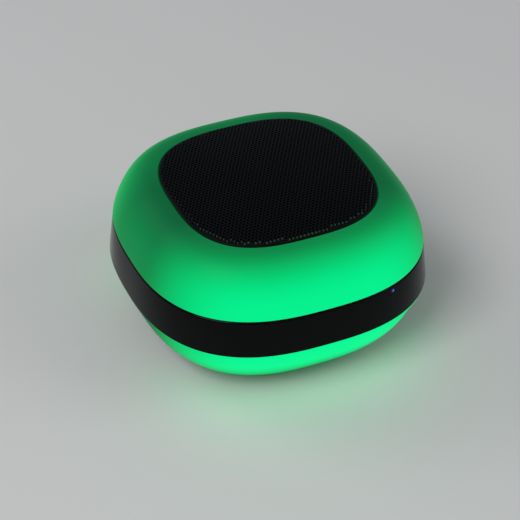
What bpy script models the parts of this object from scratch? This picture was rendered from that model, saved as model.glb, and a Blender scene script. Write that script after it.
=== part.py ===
"""Rounded-square tabletop Bluetooth speaker with a glowing shell, as an assembly of separate pieces.

Metres, +Z up. The origin is the middle of the footprint, on the table. The status light is on the front
(-Y), the press buttons are on the right side (+X), and the sockets and the power switch are at the back (+Y).
"""

import math

import bmesh
import bpy
from mathutils import Matrix, Vector
from mathutils.geometry import interpolate_bezier

MM = 0.001
GAP = 0.3 * MM
MERGE = 0.1 * MM
QUARTER = math.pi / 2
OUTER_STEPS = 40
INNER_STEPS = 24
SMALL_STEPS = 12

# Outline: each horizontal section is a superellipse, which is a square with rounded corners and bowed sides.
HALF_WIDTH = 55.0 * MM
RIM_HALF_WIDTH = 56.6 * MM
BODY_EXPONENT = 2.6
GRILLE_EXPONENT = 2.83

# Heights of the outer pieces above the table.
FOOT_HEIGHT = 1.7 * MM
PLATE_BOTTOM = FOOT_HEIGHT + GAP
LENS_BOTTOM = 2.5 * MM
BELT_BOTTOM = 23.7 * MM
BELT_TOP = 38.6 * MM
LENS_TOP = BELT_BOTTOM - GAP
DIFFUSER_BOTTOM = BELT_TOP + GAP
DIFFUSER_TOP = 58.7 * MM

# Shells.
SHELL_WALL = 2.0 * MM
BELT_WALL = 2.2 * MM
BELT_INNER = HALF_WIDTH - BELT_WALL
BELT_TOP_ROUND = 1.2 * MM
BELT_BOTTOM_ROUND = 0.4 * MM
SPIGOT_OUTER = BELT_INNER - 0.4 * MM
SPIGOT_INNER = SPIGOT_OUTER - 1.5 * MM
SPIGOT_DEPTH = 1.5 * MM
GRILLE_HALF_WIDTH = 37.9 * MM
LENS_LIP_HEIGHT = 0.7 * MM
LENS_LIP_INSET = 0.4 * MM
LENS_TOP_HALF_WIDTH = 54.8 * MM
LENS_BOTTOM_HALF_WIDTH = 37.9 * MM
LENS_BOTTOM_PULL = 8.0 * MM
LENS_TOP_PULL = 9.9 * MM
LENS_TOP_LEAN = math.radians(7)

# Grille and the ledge that it sits on.
GRILLE_RISE = 3.0 * MM
GRILLE_SHEET = 0.8 * MM
LEDGE_INNER = GRILLE_HALF_WIDTH - 1.5 * MM
LEDGE_TOP = DIFFUSER_TOP - 1.0 * MM
LEDGE_BOTTOM = LEDGE_TOP - 1.2 * MM
CLOTH_SHEET = 0.5 * MM

# Inner cup, which is the loudspeaker's sealed air volume and the reflector behind the lights.
CUP_HALF_WIDTH = 34.5 * MM
CUP_WALL = 1.8 * MM
CUP_BOTTOM = 14.0 * MM
BAFFLE_BOTTOM = 52.5 * MM
BAFFLE_TOP = 54.5 * MM
CUP_TOP = BAFFLE_BOTTOM - GAP
SHELF_BOTTOM = 34.2 * MM
SHELF_TOP = 35.3 * MM
BAFFLE_HALF_WIDTH = 38.2 * MM
BAFFLE_HOLE = 24.0 * MM

# Base.
PLATE_HALF_WIDTH = 37.5 * MM
PLATE_FLOOR = 2.0 * MM
PLATE_RIM = 39.5 * MM
FOOT_OUTER = 35.2 * MM
FOOT_INNER = 31.2 * MM
BASE_SCREW_OFFSET = 21.0 * MM
SCREW_SHANK = 0.8 * MM
SCREW_HOLE = SCREW_SHANK + GAP
SCREW_HEAD = 1.6 * MM
BOSS_RADIUS = 2.4 * MM

# Loudspeaker driver, with a 2-inch class cone.
FLANGE_BOTTOM = BAFFLE_TOP + GAP
FLANGE_TOP = FLANGE_BOTTOM + 0.8 * MM
FLANGE_RADIUS = 28.0 * MM
DRIVER_SCREW_RADIUS = 26.2 * MM
POLE_RADIUS = 9.0 * MM
COIL_INNER = POLE_RADIUS + GAP
COIL_OUTER = COIL_INNER + 0.45 * MM
GAP_RADIUS = COIL_OUTER + 0.35 * MM
CONE_RADIUS = 19.3 * MM
ROLL_OUTER = 23.0 * MM
TOP_PLATE_TOP = 36.8 * MM
MAGNET_TOP = 34.3 * MM
MAGNET_BOTTOM = 27.9 * MM
YOKE_BOTTOM = 24.8 * MM

# Boards, lights and controls.
BOARD_SHEET = 1.2 * MM
UPPER_RING_BOTTOM = SHELF_TOP + GAP
LOWER_RING_BOTTOM = 24.7 * MM
LED_SIDE = 5.0 * MM
LED_HEIGHT = 1.2 * MM
LED_DIRECTIONS = [math.radians(degrees) for degrees in (60, 120, 240, 300)]
UPPER_LED_HALF_WIDTH = 43.0 * MM
LOWER_LED_HALF_WIDTH = 42.2 * MM
MAIN_BOARD_TOP = 28.2 * MM
ON_BOARD = MAIN_BOARD_TOP + GAP
BUTTON_HEIGHT = 30.3 * MM
BUTTON_PITCH = 14.0 * MM
BUTTON_LENGTH = 10.0 * MM
BUTTON_WIDTH = 5.0 * MM
BUTTON_PROUD = 0.4 * MM
BUTTON_BACK = 47.4 * MM
BUTTON_TRAVEL = 0.5 * MM
BUTTON_NAMES = ("light", "volume_down", "play", "volume_up")
SWITCH_TRAVEL = 3.0 * MM
SWITCH_HEIGHT = 30.3 * MM
USB_X = -14.0 * MM
USB_HEIGHT = ON_BOARD + 1.63 * MM
AUX_X = 14.0 * MM
AUX_HEIGHT = ON_BOARD + 2.5 * MM
STATUS_X = 27.1 * MM
STATUS_HEIGHT = 36.4 * MM
BATTERY_SIZE = Vector((50.0, 34.0, 8.0)) * MM

ALONG_X = Matrix.Rotation(QUARTER, 4, "Z") @ Matrix.Rotation(QUARTER, 4, "X")
ALONG_Y = Matrix.Rotation(QUARTER, 4, "X")


# Scene, materials and helpers.


def clear_scene():
    """Takes away whatever the scene holds."""
    for obj in list(bpy.data.objects):
        bpy.data.objects.remove(obj, do_unlink=True)


def new_collection(name):
    """A collection in the scene."""
    collection = bpy.data.collections.new(name)
    bpy.context.scene.collection.children.link(collection)
    return collection


clear_scene()
PARTS = new_collection("bluetooth_speaker")
CUTTERS = new_collection("cutters")
CUTTERS.hide_render = True


def material(name, colour, roughness, metallic=0.0):
    """A Principled material."""
    made = bpy.data.materials.new(name)
    made.use_nodes = True
    shader = made.node_tree.nodes["Principled BSDF"]
    shader.inputs["Base Color"].default_value = (*colour, 1.0)
    shader.inputs["Roughness"].default_value = roughness
    shader.inputs["Metallic"].default_value = metallic
    made.diffuse_color = (*colour, 1.0)
    return made


GLOW_GREEN = material("glow_green", (0.02, 0.80, 0.36), 0.45)
GLOSS_BLACK = material("gloss_black", (0.010, 0.010, 0.012), 0.12)
MATTE_BLACK = material("matte_black", (0.020, 0.020, 0.022), 0.55)
WHITE_PLASTIC = material("white_plastic", (0.85, 0.85, 0.83), 0.50)
BLACK_RUBBER = material("black_rubber", (0.015, 0.015, 0.015), 0.85)
GRILLE_BLACK = material("grille_black", (0.015, 0.016, 0.018), 0.40, 0.6)
BLACK_CLOTH = material("black_cloth", (0.008, 0.008, 0.009), 0.95)
STEEL = material("steel", (0.55, 0.55, 0.56), 0.30, 1.0)
FERRITE = material("ferrite", (0.05, 0.05, 0.055), 0.70, 0.2)
COPPER = material("copper", (0.80, 0.36, 0.16), 0.35, 1.0)
PAPER = material("paper", (0.06, 0.06, 0.06), 0.90)
DAMPER_CLOTH = material("damper_cloth", (0.55, 0.30, 0.10), 0.90)
WHITE_BOARD = material("white_board", (0.80, 0.80, 0.78), 0.45)
GREEN_BOARD = material("green_board", (0.02, 0.16, 0.06), 0.40)
LED_WHITE = material("led_white", (0.90, 0.90, 0.80), 0.35)
BLUE_LIGHT = material("blue_light", (0.10, 0.25, 0.95), 0.20)
CELL_FOIL = material("cell_foil", (0.60, 0.61, 0.63), 0.35, 0.8)
FOAM = material("foam", (0.04, 0.04, 0.04), 0.95)
RED_WIRE = material("red_wire", (0.55, 0.02, 0.02), 0.50)


def add_object(name, mesh, finish, collection=PARTS):
    """A new object of that mesh and material in a collection."""
    obj = bpy.data.objects.new(name, mesh)
    collection.objects.link(obj)
    if finish:
        mesh.materials.clear()
        mesh.materials.append(finish)
    return obj


def shade(mesh):
    """Smooth shading with sharp creases."""
    mesh.shade_smooth()
    mesh.set_sharp_from_angle(angle=math.radians(35))


def as_mesh(obj):
    """Replaces a curve or modified object by a mesh object of the same name, place and material."""
    bpy.context.view_layer.update()
    evaluated = obj.evaluated_get(bpy.context.evaluated_depsgraph_get())
    mesh = bpy.data.meshes.new_from_object(evaluated)
    built = bmesh.new()
    built.from_mesh(mesh)
    bmesh.ops.remove_doubles(built, verts=built.verts, dist=MERGE / 10)
    built.to_mesh(mesh)
    built.free()
    name = obj.name
    place = obj.matrix_world.copy()
    collection = obj.users_collection[0]
    finish = obj.data.materials[0] if obj.data.materials else None
    bpy.data.objects.remove(obj)
    made = add_object(name, mesh, finish, collection)
    made.matrix_world = place
    shade(mesh)
    return made


def superellipse(angle, half_width, exponent):
    """Distance from the axis to a superellipse of that half-width, in that direction."""
    spread = abs(math.cos(angle)) ** exponent + abs(math.sin(angle)) ** exponent
    return half_width * spread ** (-1 / exponent)


def belt_half_width(height):
    """The belt widens from the seam down to its lower rim."""
    return HALF_WIDTH + (RIM_HALF_WIDTH - HALF_WIDTH) * (BELT_TOP - height) / (BELT_TOP - BELT_BOTTOM)


def side_distance(across, height):
    """How far out a side of the belt is, at that distance from the side's middle and that height."""
    return (belt_half_width(height) ** BODY_EXPONENT - abs(across) ** BODY_EXPONENT) ** (1 / BODY_EXPONENT)


def turned(name, profile, finish, steps, joined=True, collection=PARTS):
    """A profile of (radius, height) points swept round the Z axis.

    The profile runs down its outer side. It closes on itself, or else it starts and ends on the axis.
    """
    mesh = bpy.data.meshes.new(name)
    edges = [(i, i + 1) for i in range(len(profile) - 1)]
    if joined:
        edges.append((len(profile) - 1, 0))
    mesh.from_pydata([(radius, 0.0, height) for radius, height in profile], edges, [])
    obj = add_object(name, mesh, finish, collection)
    screw = obj.modifiers.new("Screw", "SCREW")
    screw.steps = screw.render_steps = steps
    screw.use_merge_vertices = not joined
    screw.merge_threshold = MERGE
    return as_mesh(obj)


def squared(obj, exponent_at=lambda height: BODY_EXPONENT):
    """Pushes a turned shape's round sections out into superellipses."""
    for vertex in obj.data.vertices:
        angle = math.atan2(vertex.co.y, vertex.co.x)
        factor = superellipse(angle, 1.0, exponent_at(vertex.co.z))
        vertex.co.x *= factor
        vertex.co.y *= factor
    shade(obj.data)
    return obj


def helper(obj):
    """Marks an object as a cutter."""
    obj.hide_render = True
    obj.display_type = "WIRE"
    return obj


def boolean(obj, other, operation):
    """Combines an object with a helper."""
    modifier = obj.modifiers.new(operation.title(), "BOOLEAN")
    modifier.operation = operation
    modifier.solver = "EXACT"
    modifier.object = helper(other)
    return obj


def cut(obj, *cutters):
    """Takes helpers away from an object."""
    for cutter in cutters:
        boolean(obj, cutter, "DIFFERENCE")
    return obj


def join(obj, *others):
    """Adds helpers to an object, as one body."""
    for other in others:
        boolean(obj, other, "UNION")
    return obj


def box(name, centre, size, finish=None, bevel=0.0, collection=PARTS):
    """A block with its middle at a point."""
    mesh = bpy.data.meshes.new(name)
    built = bmesh.new()
    bmesh.ops.create_cube(built, size=1.0)
    bmesh.ops.scale(built, vec=Vector(size), verts=built.verts)
    built.to_mesh(mesh)
    built.free()
    obj = add_object(name, mesh, finish, collection)
    obj.location = centre
    if bevel:
        edge = obj.modifiers.new("Bevel", "BEVEL")
        edge.width = bevel
        edge.segments = 1
    return obj


def block(name, low, high, finish=None, bevel=0.0, collection=PARTS):
    """A block between two corners."""
    low = Vector(low)
    high = Vector(high)
    return box(name, (low + high) / 2, high - low, finish, bevel, collection)


def rod(name, centre, radius, length, finish=None, turn=None, steps=SMALL_STEPS, collection=PARTS):
    """A cylinder with its middle at a point, along Z or turned."""
    mesh = bpy.data.meshes.new(name)
    built = bmesh.new()
    bmesh.ops.create_cone(
        built, cap_ends=True, segments=steps, radius1=radius, radius2=radius, depth=length
    )
    built.to_mesh(mesh)
    built.free()
    shade(mesh)
    obj = add_object(name, mesh, finish, collection)
    obj.matrix_world = Matrix.Translation(centre) @ (turn or Matrix.Identity(4))
    return obj


def capsule(length, width, steps=6):
    """Outline points of a bar with round ends."""
    radius = width / 2
    reach = length / 2 - radius
    points = []
    for end in (1, -1):
        for i in range(steps + 1):
            angle = math.pi * i / steps - QUARTER
            points.append((end * (reach + radius * math.cos(angle)), end * radius * math.sin(angle)))
    return points


def prism(name, outline, thickness, centre, turn, finish=None, collection=PARTS):
    """A flat outline with a thickness, its middle at a point."""
    curve = bpy.data.curves.new(name, "CURVE")
    curve.dimensions = "2D"
    curve.fill_mode = "BOTH"
    curve.extrude = thickness / 2
    spline = curve.splines.new("POLY")
    spline.points.add(len(outline) - 1)
    for point, (x, y) in zip(spline.points, outline):
        point.co = (x, y, 0.0, 1.0)
    spline.use_cyclic_u = True
    obj = add_object(name, curve, finish, collection)
    obj.matrix_world = Matrix.Translation(centre) @ turn
    return as_mesh(obj)


def smooth_route(route, spacing):
    """Points along a smooth curve through a wire's route."""
    ends = [route[0] * 2 - route[1], *route, route[-1] * 2 - route[-2]]
    points = []
    for before, start, end, after in zip(ends, ends[1:], ends[2:], ends[3:]):
        count = max(2, round((end - start).length / spacing))
        for i in range(count):
            t = i / count
            points.append(
                (
                    2 * start
                    + (end - before) * t
                    + (2 * before - 5 * start + 4 * end - after) * t**2
                    + (3 * start - before - 3 * end + after) * t**3
                )
                / 2
            )
    return [*points, route[-1]]


def wire(name, route, radius, finish):
    """An insulated wire along a route."""
    curve = bpy.data.curves.new(name, "CURVE")
    curve.dimensions = "3D"
    curve.bevel_depth = radius
    curve.bevel_resolution = 2
    curve.use_fill_caps = True
    points = smooth_route([Vector(point) * MM for point in route], 5 * radius)
    spline = curve.splines.new("POLY")
    spline.points.add(len(points) - 1)
    for place, point in zip(spline.points, points):
        place.co = (*point, 1.0)
    return add_object(name, curve, finish)


def screw(name, place, head_under, head_face, tip):
    """A pan-head screw with a cross slot, given the heights of its head's two sides and its tip."""
    upright = head_face > tip
    point_start = tip + SCREW_SHANK if upright else tip - SCREW_SHANK
    profile = [
        (0.0, head_face),
        (SCREW_HEAD * 0.8, head_face),
        (SCREW_HEAD, head_under),
        (SCREW_SHANK, head_under),
        (SCREW_SHANK, point_start),
        (0.0, tip),
    ]
    if not upright:
        # With its head down, the profile has to be read from the tip so that it still runs downwards.
        profile = profile[::-1]
    obj = turned(name, profile, STEEL, SMALL_STEPS, joined=False)
    obj.location = (*place, 0.0)
    slot = Vector((SCREW_HEAD * 1.1, SCREW_HEAD * 0.3, 0.7 * MM))
    for i, size in enumerate((slot, slot.yxz), 1):
        cut(obj, box(f"{name}_slot_{i}", (*place, head_face), size, collection=CUTTERS))


def inset(points, wall):
    """The line that runs a wall's thickness inside an outer profile."""
    moved = []
    for i, (radius, height) in enumerate(points):
        before = points[max(i - 1, 0)]
        after = points[min(i + 1, len(points) - 1)]
        along = Vector((after[0] - before[0], after[1] - before[1])).normalized()
        moved.append((radius + along.y * wall, height - along.x * wall))
    return moved


def ring_profile(inner, outer, low, high):
    """Profile of a flat ring."""
    return [(outer, high), (outer, low), (inner, low), (inner, high)]


def four_corners(offset):
    """Four places at the corners of a square, anticlockwise."""
    return [(offset * x, offset * y) for x, y in ((1, 1), (-1, 1), (-1, -1), (1, -1))]


# Outer shells.


def upper_surface(count=7):
    """Outer profile of the upper shell, from the grille's edge down to the belt."""
    points = []
    for i in range(count + 1):
        t = QUARTER * i / count
        spread = math.sin(t) ** 0.90
        drop = max(math.cos(t), 0.0) ** 1.465
        radius = GRILLE_HALF_WIDTH + (HALF_WIDTH - GRILLE_HALF_WIDTH) * spread
        points.append((radius, DIFFUSER_BOTTOM + (DIFFUSER_TOP - DIFFUSER_BOTTOM) * drop))
    return points


def upper_exponent(height):
    """The sections get squarer from the belt up to the grille."""
    share = (height - DIFFUSER_BOTTOM) / (DIFFUSER_TOP - DIFFUSER_BOTTOM)
    share = min(max(share, 0.0), 1.0)
    return BODY_EXPONENT + (GRILLE_EXPONENT - BODY_EXPONENT) * share**2


def make_upper_diffuser():
    """Translucent upper shell, with a ledge for the grille and a spigot that fits inside the belt."""
    outer = upper_surface()
    inner = inset(outer, SHELL_WALL)
    profile = [
        *outer,
        (SPIGOT_OUTER, DIFFUSER_BOTTOM),
        (SPIGOT_OUTER, DIFFUSER_BOTTOM - SPIGOT_DEPTH),
        (SPIGOT_INNER, DIFFUSER_BOTTOM - SPIGOT_DEPTH),
        (SPIGOT_INNER, DIFFUSER_BOTTOM + SPIGOT_DEPTH),
        *reversed(inner[1:-1]),
        (LEDGE_INNER, LEDGE_BOTTOM),
        (LEDGE_INNER, LEDGE_TOP),
        (GRILLE_HALF_WIDTH, LEDGE_TOP),
    ]
    squared(turned("upper_diffuser", profile, GLOW_GREEN, OUTER_STEPS), upper_exponent)


def lower_surface(count=9):
    """Outer profile of the lower bowl, from under the belt down to the base plate.

    It's a curve that leaves the bottom flat and meets the lip nearly upright.
    """
    bottom = Vector((LENS_BOTTOM_HALF_WIDTH, LENS_BOTTOM))
    top = Vector((LENS_TOP_HALF_WIDTH, LENS_TOP - LENS_LIP_HEIGHT))
    low_handle = bottom + Vector((LENS_BOTTOM_PULL, 0.0))
    lean = Vector((math.sin(LENS_TOP_LEAN), math.cos(LENS_TOP_LEAN)))
    return interpolate_bezier(top, top - lean * LENS_TOP_PULL, low_handle, bottom, count)


def make_lower_lens():
    """Translucent lower bowl, with a thin lip under the belt and a spigot that fits inside it."""
    outer = lower_surface()
    inner = inset(outer, SHELL_WALL)
    lip = RIM_HALF_WIDTH - LENS_LIP_INSET
    profile = [
        (SPIGOT_OUTER, LENS_TOP + SPIGOT_DEPTH),
        (SPIGOT_OUTER, LENS_TOP),
        (lip, LENS_TOP),
        (lip, LENS_TOP - LENS_LIP_HEIGHT),
        *outer,
        *reversed(inner[2:]),
        (SPIGOT_INNER, LENS_TOP - SPIGOT_DEPTH),
        (SPIGOT_INNER, LENS_TOP + SPIGOT_DEPTH),
    ]
    squared(turned("lower_lens", profile, GLOW_GREEN, OUTER_STEPS))


def corner_round(centre_radius, centre_height, radius, start, steps=2):
    """A quarter of a circle in a profile, turning clockwise from an angle."""
    points = []
    for i in range(steps + 1):
        angle = start - QUARTER * i / steps
        points.append((centre_radius + radius * math.cos(angle), centre_height + radius * math.sin(angle)))
    return points


def status_frame():
    """Where the status light meets the belt's front, and its outward direction."""
    place = Vector((STATUS_X, -side_distance(STATUS_X, STATUS_HEIGHT), STATUS_HEIGHT))
    outward = Vector(
        (abs(place.x) ** (BODY_EXPONENT - 1), -(abs(place.y) ** (BODY_EXPONENT - 1)), 0.0)
    ).normalized()
    return place, outward


def status_rod(name, radius, outer_end, inner_end, finish=None, collection=PARTS):
    """A rod through the belt's front at the status light."""
    place, outward = status_frame()
    middle = place + outward * (outer_end - inner_end) / 2
    turn = outward.to_track_quat("Z", "Y").to_matrix().to_4x4()
    return rod(name, middle, radius, outer_end + inner_end, finish, turn, collection=collection)


def make_belt():
    """Gloss band that holds the shells together, with windows for the controls and sockets."""
    profile = [
        *corner_round(HALF_WIDTH - BELT_TOP_ROUND, BELT_TOP - BELT_TOP_ROUND, BELT_TOP_ROUND, QUARTER),
        *corner_round(RIM_HALF_WIDTH - BELT_BOTTOM_ROUND, BELT_BOTTOM + BELT_BOTTOM_ROUND, BELT_BOTTOM_ROUND, 0),
        (BELT_INNER, BELT_BOTTOM),
        (BELT_INNER, BELT_TOP),
    ]
    belt = squared(turned("belt_band", profile, GLOSS_BLACK, OUTER_STEPS))
    side = HALF_WIDTH - 2 * MM
    for name, across in zip(BUTTON_NAMES, button_places()):
        window = capsule(BUTTON_LENGTH + 2 * GAP, BUTTON_WIDTH + 2 * GAP)
        centre = (side, across, BUTTON_HEIGHT)
        cut(belt, prism(f"window_{name}", window, 12 * MM, centre, ALONG_X, collection=CUTTERS))
    slot_size = (SWITCH_TRAVEL + 3.2 * MM, 8 * MM, 2.3 * MM)
    usb_window = capsule(9.7 * MM, 3.95 * MM)
    cut(
        belt,
        box("window_switch", (0, side, SWITCH_HEIGHT), slot_size, collection=CUTTERS),
        prism("window_usb", usb_window, 8 * MM, (USB_X, side, USB_HEIGHT), ALONG_Y, collection=CUTTERS),
        rod("window_aux", (AUX_X, side, AUX_HEIGHT), 3.25 * MM, 8 * MM, turn=ALONG_Y, collection=CUTTERS),
        status_rod("window_status", 0.95 * MM, 2 * MM, 6 * MM, collection=CUTTERS),
    )


def make_base():
    """Base plate with a rim inside the bowl and four screw holes, and the rubber foot ring under it."""
    rim_bottom = LENS_BOTTOM + SHELL_WALL + 0.5 * MM
    floor_top = PLATE_BOTTOM + PLATE_FLOOR
    profile = [
        (0.0, floor_top),
        (PLATE_HALF_WIDTH - 1.6 * MM, floor_top),
        (PLATE_HALF_WIDTH - 1.6 * MM, rim_bottom + 1.0 * MM),
        (PLATE_RIM, rim_bottom + 1.0 * MM),
        (PLATE_RIM, rim_bottom),
        (PLATE_HALF_WIDTH, rim_bottom),
        (PLATE_HALF_WIDTH, PLATE_BOTTOM),
        (0.0, PLATE_BOTTOM),
    ]
    plate = squared(turned("base_plate", profile, MATTE_BLACK, OUTER_STEPS, joined=False))
    for i, (x, y) in enumerate(four_corners(BASE_SCREW_OFFSET), 1):
        recess = (x, y, PLATE_BOTTOM)
        cut(
            plate,
            rod(f"plate_recess_{i}", recess, SCREW_HEAD + GAP, 2.4 * MM, collection=CUTTERS),
            rod(f"plate_hole_{i}", recess, SCREW_HOLE, 8 * MM, collection=CUTTERS),
        )
        head_face = PLATE_BOTTOM + 0.15 * MM
        screw(f"base_screw_{i}", (x, y), head_face + 0.75 * MM, head_face, CUP_BOTTOM - 2.5 * MM)
    chamfer = 0.3 * MM
    foot = [
        (FOOT_OUTER, FOOT_HEIGHT),
        (FOOT_OUTER, chamfer),
        (FOOT_OUTER - chamfer, 0.0),
        (FOOT_INNER + chamfer, 0.0),
        (FOOT_INNER, chamfer),
        (FOOT_INNER, FOOT_HEIGHT),
    ]
    squared(turned("foot_ring", foot, BLACK_RUBBER, OUTER_STEPS))


# Grille, cloth, baffle and inner cup.


def dome(half_width, edge_height, thickness, rings=3):
    """Profile of a shallow domed sheet, from the middle of its top over its edge to the middle underneath."""
    radii = [half_width * i / rings for i in range(rings + 1)]
    lifts = [GRILLE_RISE * (1 - (radius / GRILLE_HALF_WIDTH) ** 2) for radius in radii]
    top = [(radius, edge_height + thickness + lift) for radius, lift in zip(radii, lifts)]
    under = [(radius, edge_height + lift) for radius, lift in zip(radii, lifts)]
    return [*top, *reversed(under)]


def make_grille():
    """Domed steel grille and the acoustic cloth behind it."""
    sheet = dome(GRILLE_HALF_WIDTH - 0.4 * MM, LEDGE_TOP + GAP, GRILLE_SHEET)
    cloth = dome(LEDGE_INNER - 0.6 * MM, LEDGE_TOP - 0.6 * MM, CLOTH_SHEET, rings=2)
    for name, profile, finish in (("grille", sheet, GRILLE_BLACK), ("grille_cloth", cloth, BLACK_CLOTH)):
        piece = turned(name, profile, finish, OUTER_STEPS, joined=False)
        squared(piece, lambda height: GRILLE_EXPONENT)


def driver_screw_places():
    """Where the driver's four screws stand."""
    return four_corners(DRIVER_SCREW_RADIUS / math.sqrt(2))


def make_baffle():
    """Plate that closes the cup and carries the driver; its raised rim stands under the diffuser's ledge."""
    rim_inner = BAFFLE_HALF_WIDTH - 1.6 * MM
    rim_top = LEDGE_BOTTOM - GAP
    profile = [
        (0.0, BAFFLE_TOP),
        (rim_inner, BAFFLE_TOP),
        (rim_inner, rim_top),
        (BAFFLE_HALF_WIDTH, rim_top),
        (BAFFLE_HALF_WIDTH, BAFFLE_BOTTOM),
        (0.0, BAFFLE_BOTTOM),
    ]
    baffle = squared(turned("baffle_plate", profile, MATTE_BLACK, INNER_STEPS, joined=False))
    middle = (0, 0, (BAFFLE_TOP + BAFFLE_BOTTOM) / 2)
    cut(baffle, rod("baffle_hole", middle, BAFFLE_HOLE, 9 * MM, steps=INNER_STEPS, collection=CUTTERS))
    boss_bottom = BAFFLE_BOTTOM - 3 * MM
    boss_top = BAFFLE_TOP - 0.5 * MM
    for i, (x, y) in enumerate(driver_screw_places(), 1):
        boss = rod(
            f"baffle_boss_{i}",
            (x, y, (boss_bottom + boss_top) / 2),
            2.1 * MM,
            boss_top - boss_bottom,
            collection=CUTTERS,
        )
        join(baffle, boss)
        cut(baffle, rod(f"baffle_pilot_{i}", (x, y, middle[2]), SCREW_HOLE, 14 * MM, collection=CUTTERS))


def make_cup():
    """White inner cup: closed air volume, reflector shelf for the lights, and screw bosses under it."""
    inside = CUP_HALF_WIDTH - CUP_WALL
    profile = [
        (0.0, CUP_BOTTOM + CUP_WALL),
        (inside, CUP_BOTTOM + CUP_WALL),
        (inside, CUP_TOP),
        (CUP_HALF_WIDTH, CUP_TOP),
        (CUP_HALF_WIDTH, SHELF_TOP),
        (SPIGOT_OUTER, SHELF_TOP),
        (SPIGOT_OUTER, SHELF_BOTTOM),
        (CUP_HALF_WIDTH, SHELF_BOTTOM),
        (CUP_HALF_WIDTH, CUP_BOTTOM),
        (0.0, CUP_BOTTOM),
    ]
    cup = squared(turned("acoustic_chamber", profile, WHITE_PLASTIC, INNER_STEPS, joined=False))
    boss_bottom = PLATE_BOTTOM + PLATE_FLOOR + GAP
    boss_top = CUP_BOTTOM + CUP_WALL / 2
    for i, (x, y) in enumerate(four_corners(BASE_SCREW_OFFSET), 1):
        boss = rod(
            f"cup_boss_{i}",
            (x, y, (boss_bottom + boss_top) / 2),
            BOSS_RADIUS,
            boss_top - boss_bottom,
            collection=CUTTERS,
        )
        join(cup, boss)
        pilot_top = CUP_BOTTOM - 1 * MM
        cut(cup, rod(f"cup_pilot_{i}", (x, y, pilot_top / 2), SCREW_HOLE, pilot_top, collection=CUTTERS))
    slot_low = (-4 * MM, CUP_HALF_WIDTH - 5 * MM, 29.3 * MM)
    slot_high = (4 * MM, CUP_HALF_WIDTH + 3 * MM, 32.5 * MM)
    cut(cup, block("cup_wire_slot", slot_low, slot_high, collection=CUTTERS))


# Loudspeaker driver.


def make_driver_motor():
    """Magnet between the yoke and the top plate."""
    yoke_plate = MAGNET_BOTTOM - GAP
    yoke = [
        (0.0, TOP_PLATE_TOP),
        (POLE_RADIUS, TOP_PLATE_TOP),
        (POLE_RADIUS, yoke_plate),
        (17.0 * MM, yoke_plate),
        (17.0 * MM, YOKE_BOTTOM),
        (0.0, YOKE_BOTTOM),
    ]
    magnet = ring_profile(12.0 * MM, 18.5 * MM, MAGNET_BOTTOM, MAGNET_TOP)
    top_plate = ring_profile(GAP_RADIUS, 17.0 * MM, MAGNET_TOP + GAP, TOP_PLATE_TOP)
    turned("driver_yoke", yoke, STEEL, INNER_STEPS, joined=False)
    turned("driver_magnet", magnet, FERRITE, INNER_STEPS)
    turned("driver_top_plate", top_plate, STEEL, INNER_STEPS)


def make_driver_frame():
    """Steel basket with four windows, a shelf for the damper and a screwed flange."""
    foot = TOP_PLATE_TOP + GAP
    wall = 0.8 * MM
    shelf = foot + 3.8 * MM
    profile = [
        (FLANGE_RADIUS, FLANGE_TOP),
        (FLANGE_RADIUS, FLANGE_BOTTOM),
        (BAFFLE_HOLE - GAP, FLANGE_BOTTOM),
        (21.3 * MM, shelf),
        (17.6 * MM, foot),
        (12.0 * MM, foot),
        (12.0 * MM, foot + wall),
        (17.0 * MM, foot + wall),
        (18.6 * MM, shelf),
        (20.3 * MM, shelf),
        (BAFFLE_HOLE - 1.4 * MM, FLANGE_BOTTOM),
        (BAFFLE_HOLE - 1.4 * MM, FLANGE_TOP),
    ]
    frame = turned("driver_frame", profile, MATTE_BLACK, INNER_STEPS)
    for i, turn in enumerate((math.pi / 4, -math.pi / 4), 1):
        opening = (60 * MM, 13 * MM, 8 * MM)
        centre = (0, 0, (shelf + FLANGE_BOTTOM) / 2 + 1.5 * MM)
        window = box(f"frame_window_{i}", centre, opening, collection=CUTTERS)
        window.rotation_euler.z = turn
        cut(frame, window)
    for i, (x, y) in enumerate(driver_screw_places(), 1):
        cut(frame, rod(f"frame_hole_{i}", (x, y, FLANGE_TOP), SCREW_HOLE, 6 * MM, collection=CUTTERS))
        head_under = FLANGE_TOP + GAP
        screw(f"driver_screw_{i}", (x, y), head_under, head_under + 1.0 * MM, BAFFLE_BOTTOM - 2 * MM)


def make_driver_cone():
    """Moving parts of the driver: voice coil, cone and dust cap. The joint's axis is the Z axis."""
    coil_top = 46.8 * MM
    cone_low = coil_top + GAP
    cone_high = FLANGE_TOP
    wall = 0.5 * MM
    neck = COIL_INNER + 0.6 * MM
    coil = ring_profile(COIL_INNER, COIL_OUTER, 31.5 * MM, coil_top)
    turned("driver_voice_coil", coil, COPPER, INNER_STEPS)
    cone = [
        (CONE_RADIUS, cone_high),
        (CONE_RADIUS, cone_high - wall),
        (neck + wall, cone_low),
        (neck, cone_low),
        (neck, cone_low + wall),
        (CONE_RADIUS - wall, cone_high),
    ]
    turned("driver_cone", cone, PAPER, INNER_STEPS)
    cap_radius = 11.5 * MM
    cap_low = 49.2 * MM
    cap_rise = 2.6 * MM
    rings = 3
    outside = []
    inside = []
    for i in range(rings + 1):
        share = i / rings
        lift = cap_rise * math.cos(QUARTER * share)
        outside.append((cap_radius * share, cap_low + wall + lift))
        inside.append(((cap_radius - wall) * share, cap_low + lift))
    inside[-1] = (cap_radius - wall, cap_low)
    turned("driver_dust_cap", [*outside, *reversed(inside)], PAPER, INNER_STEPS, joined=False)


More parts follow.
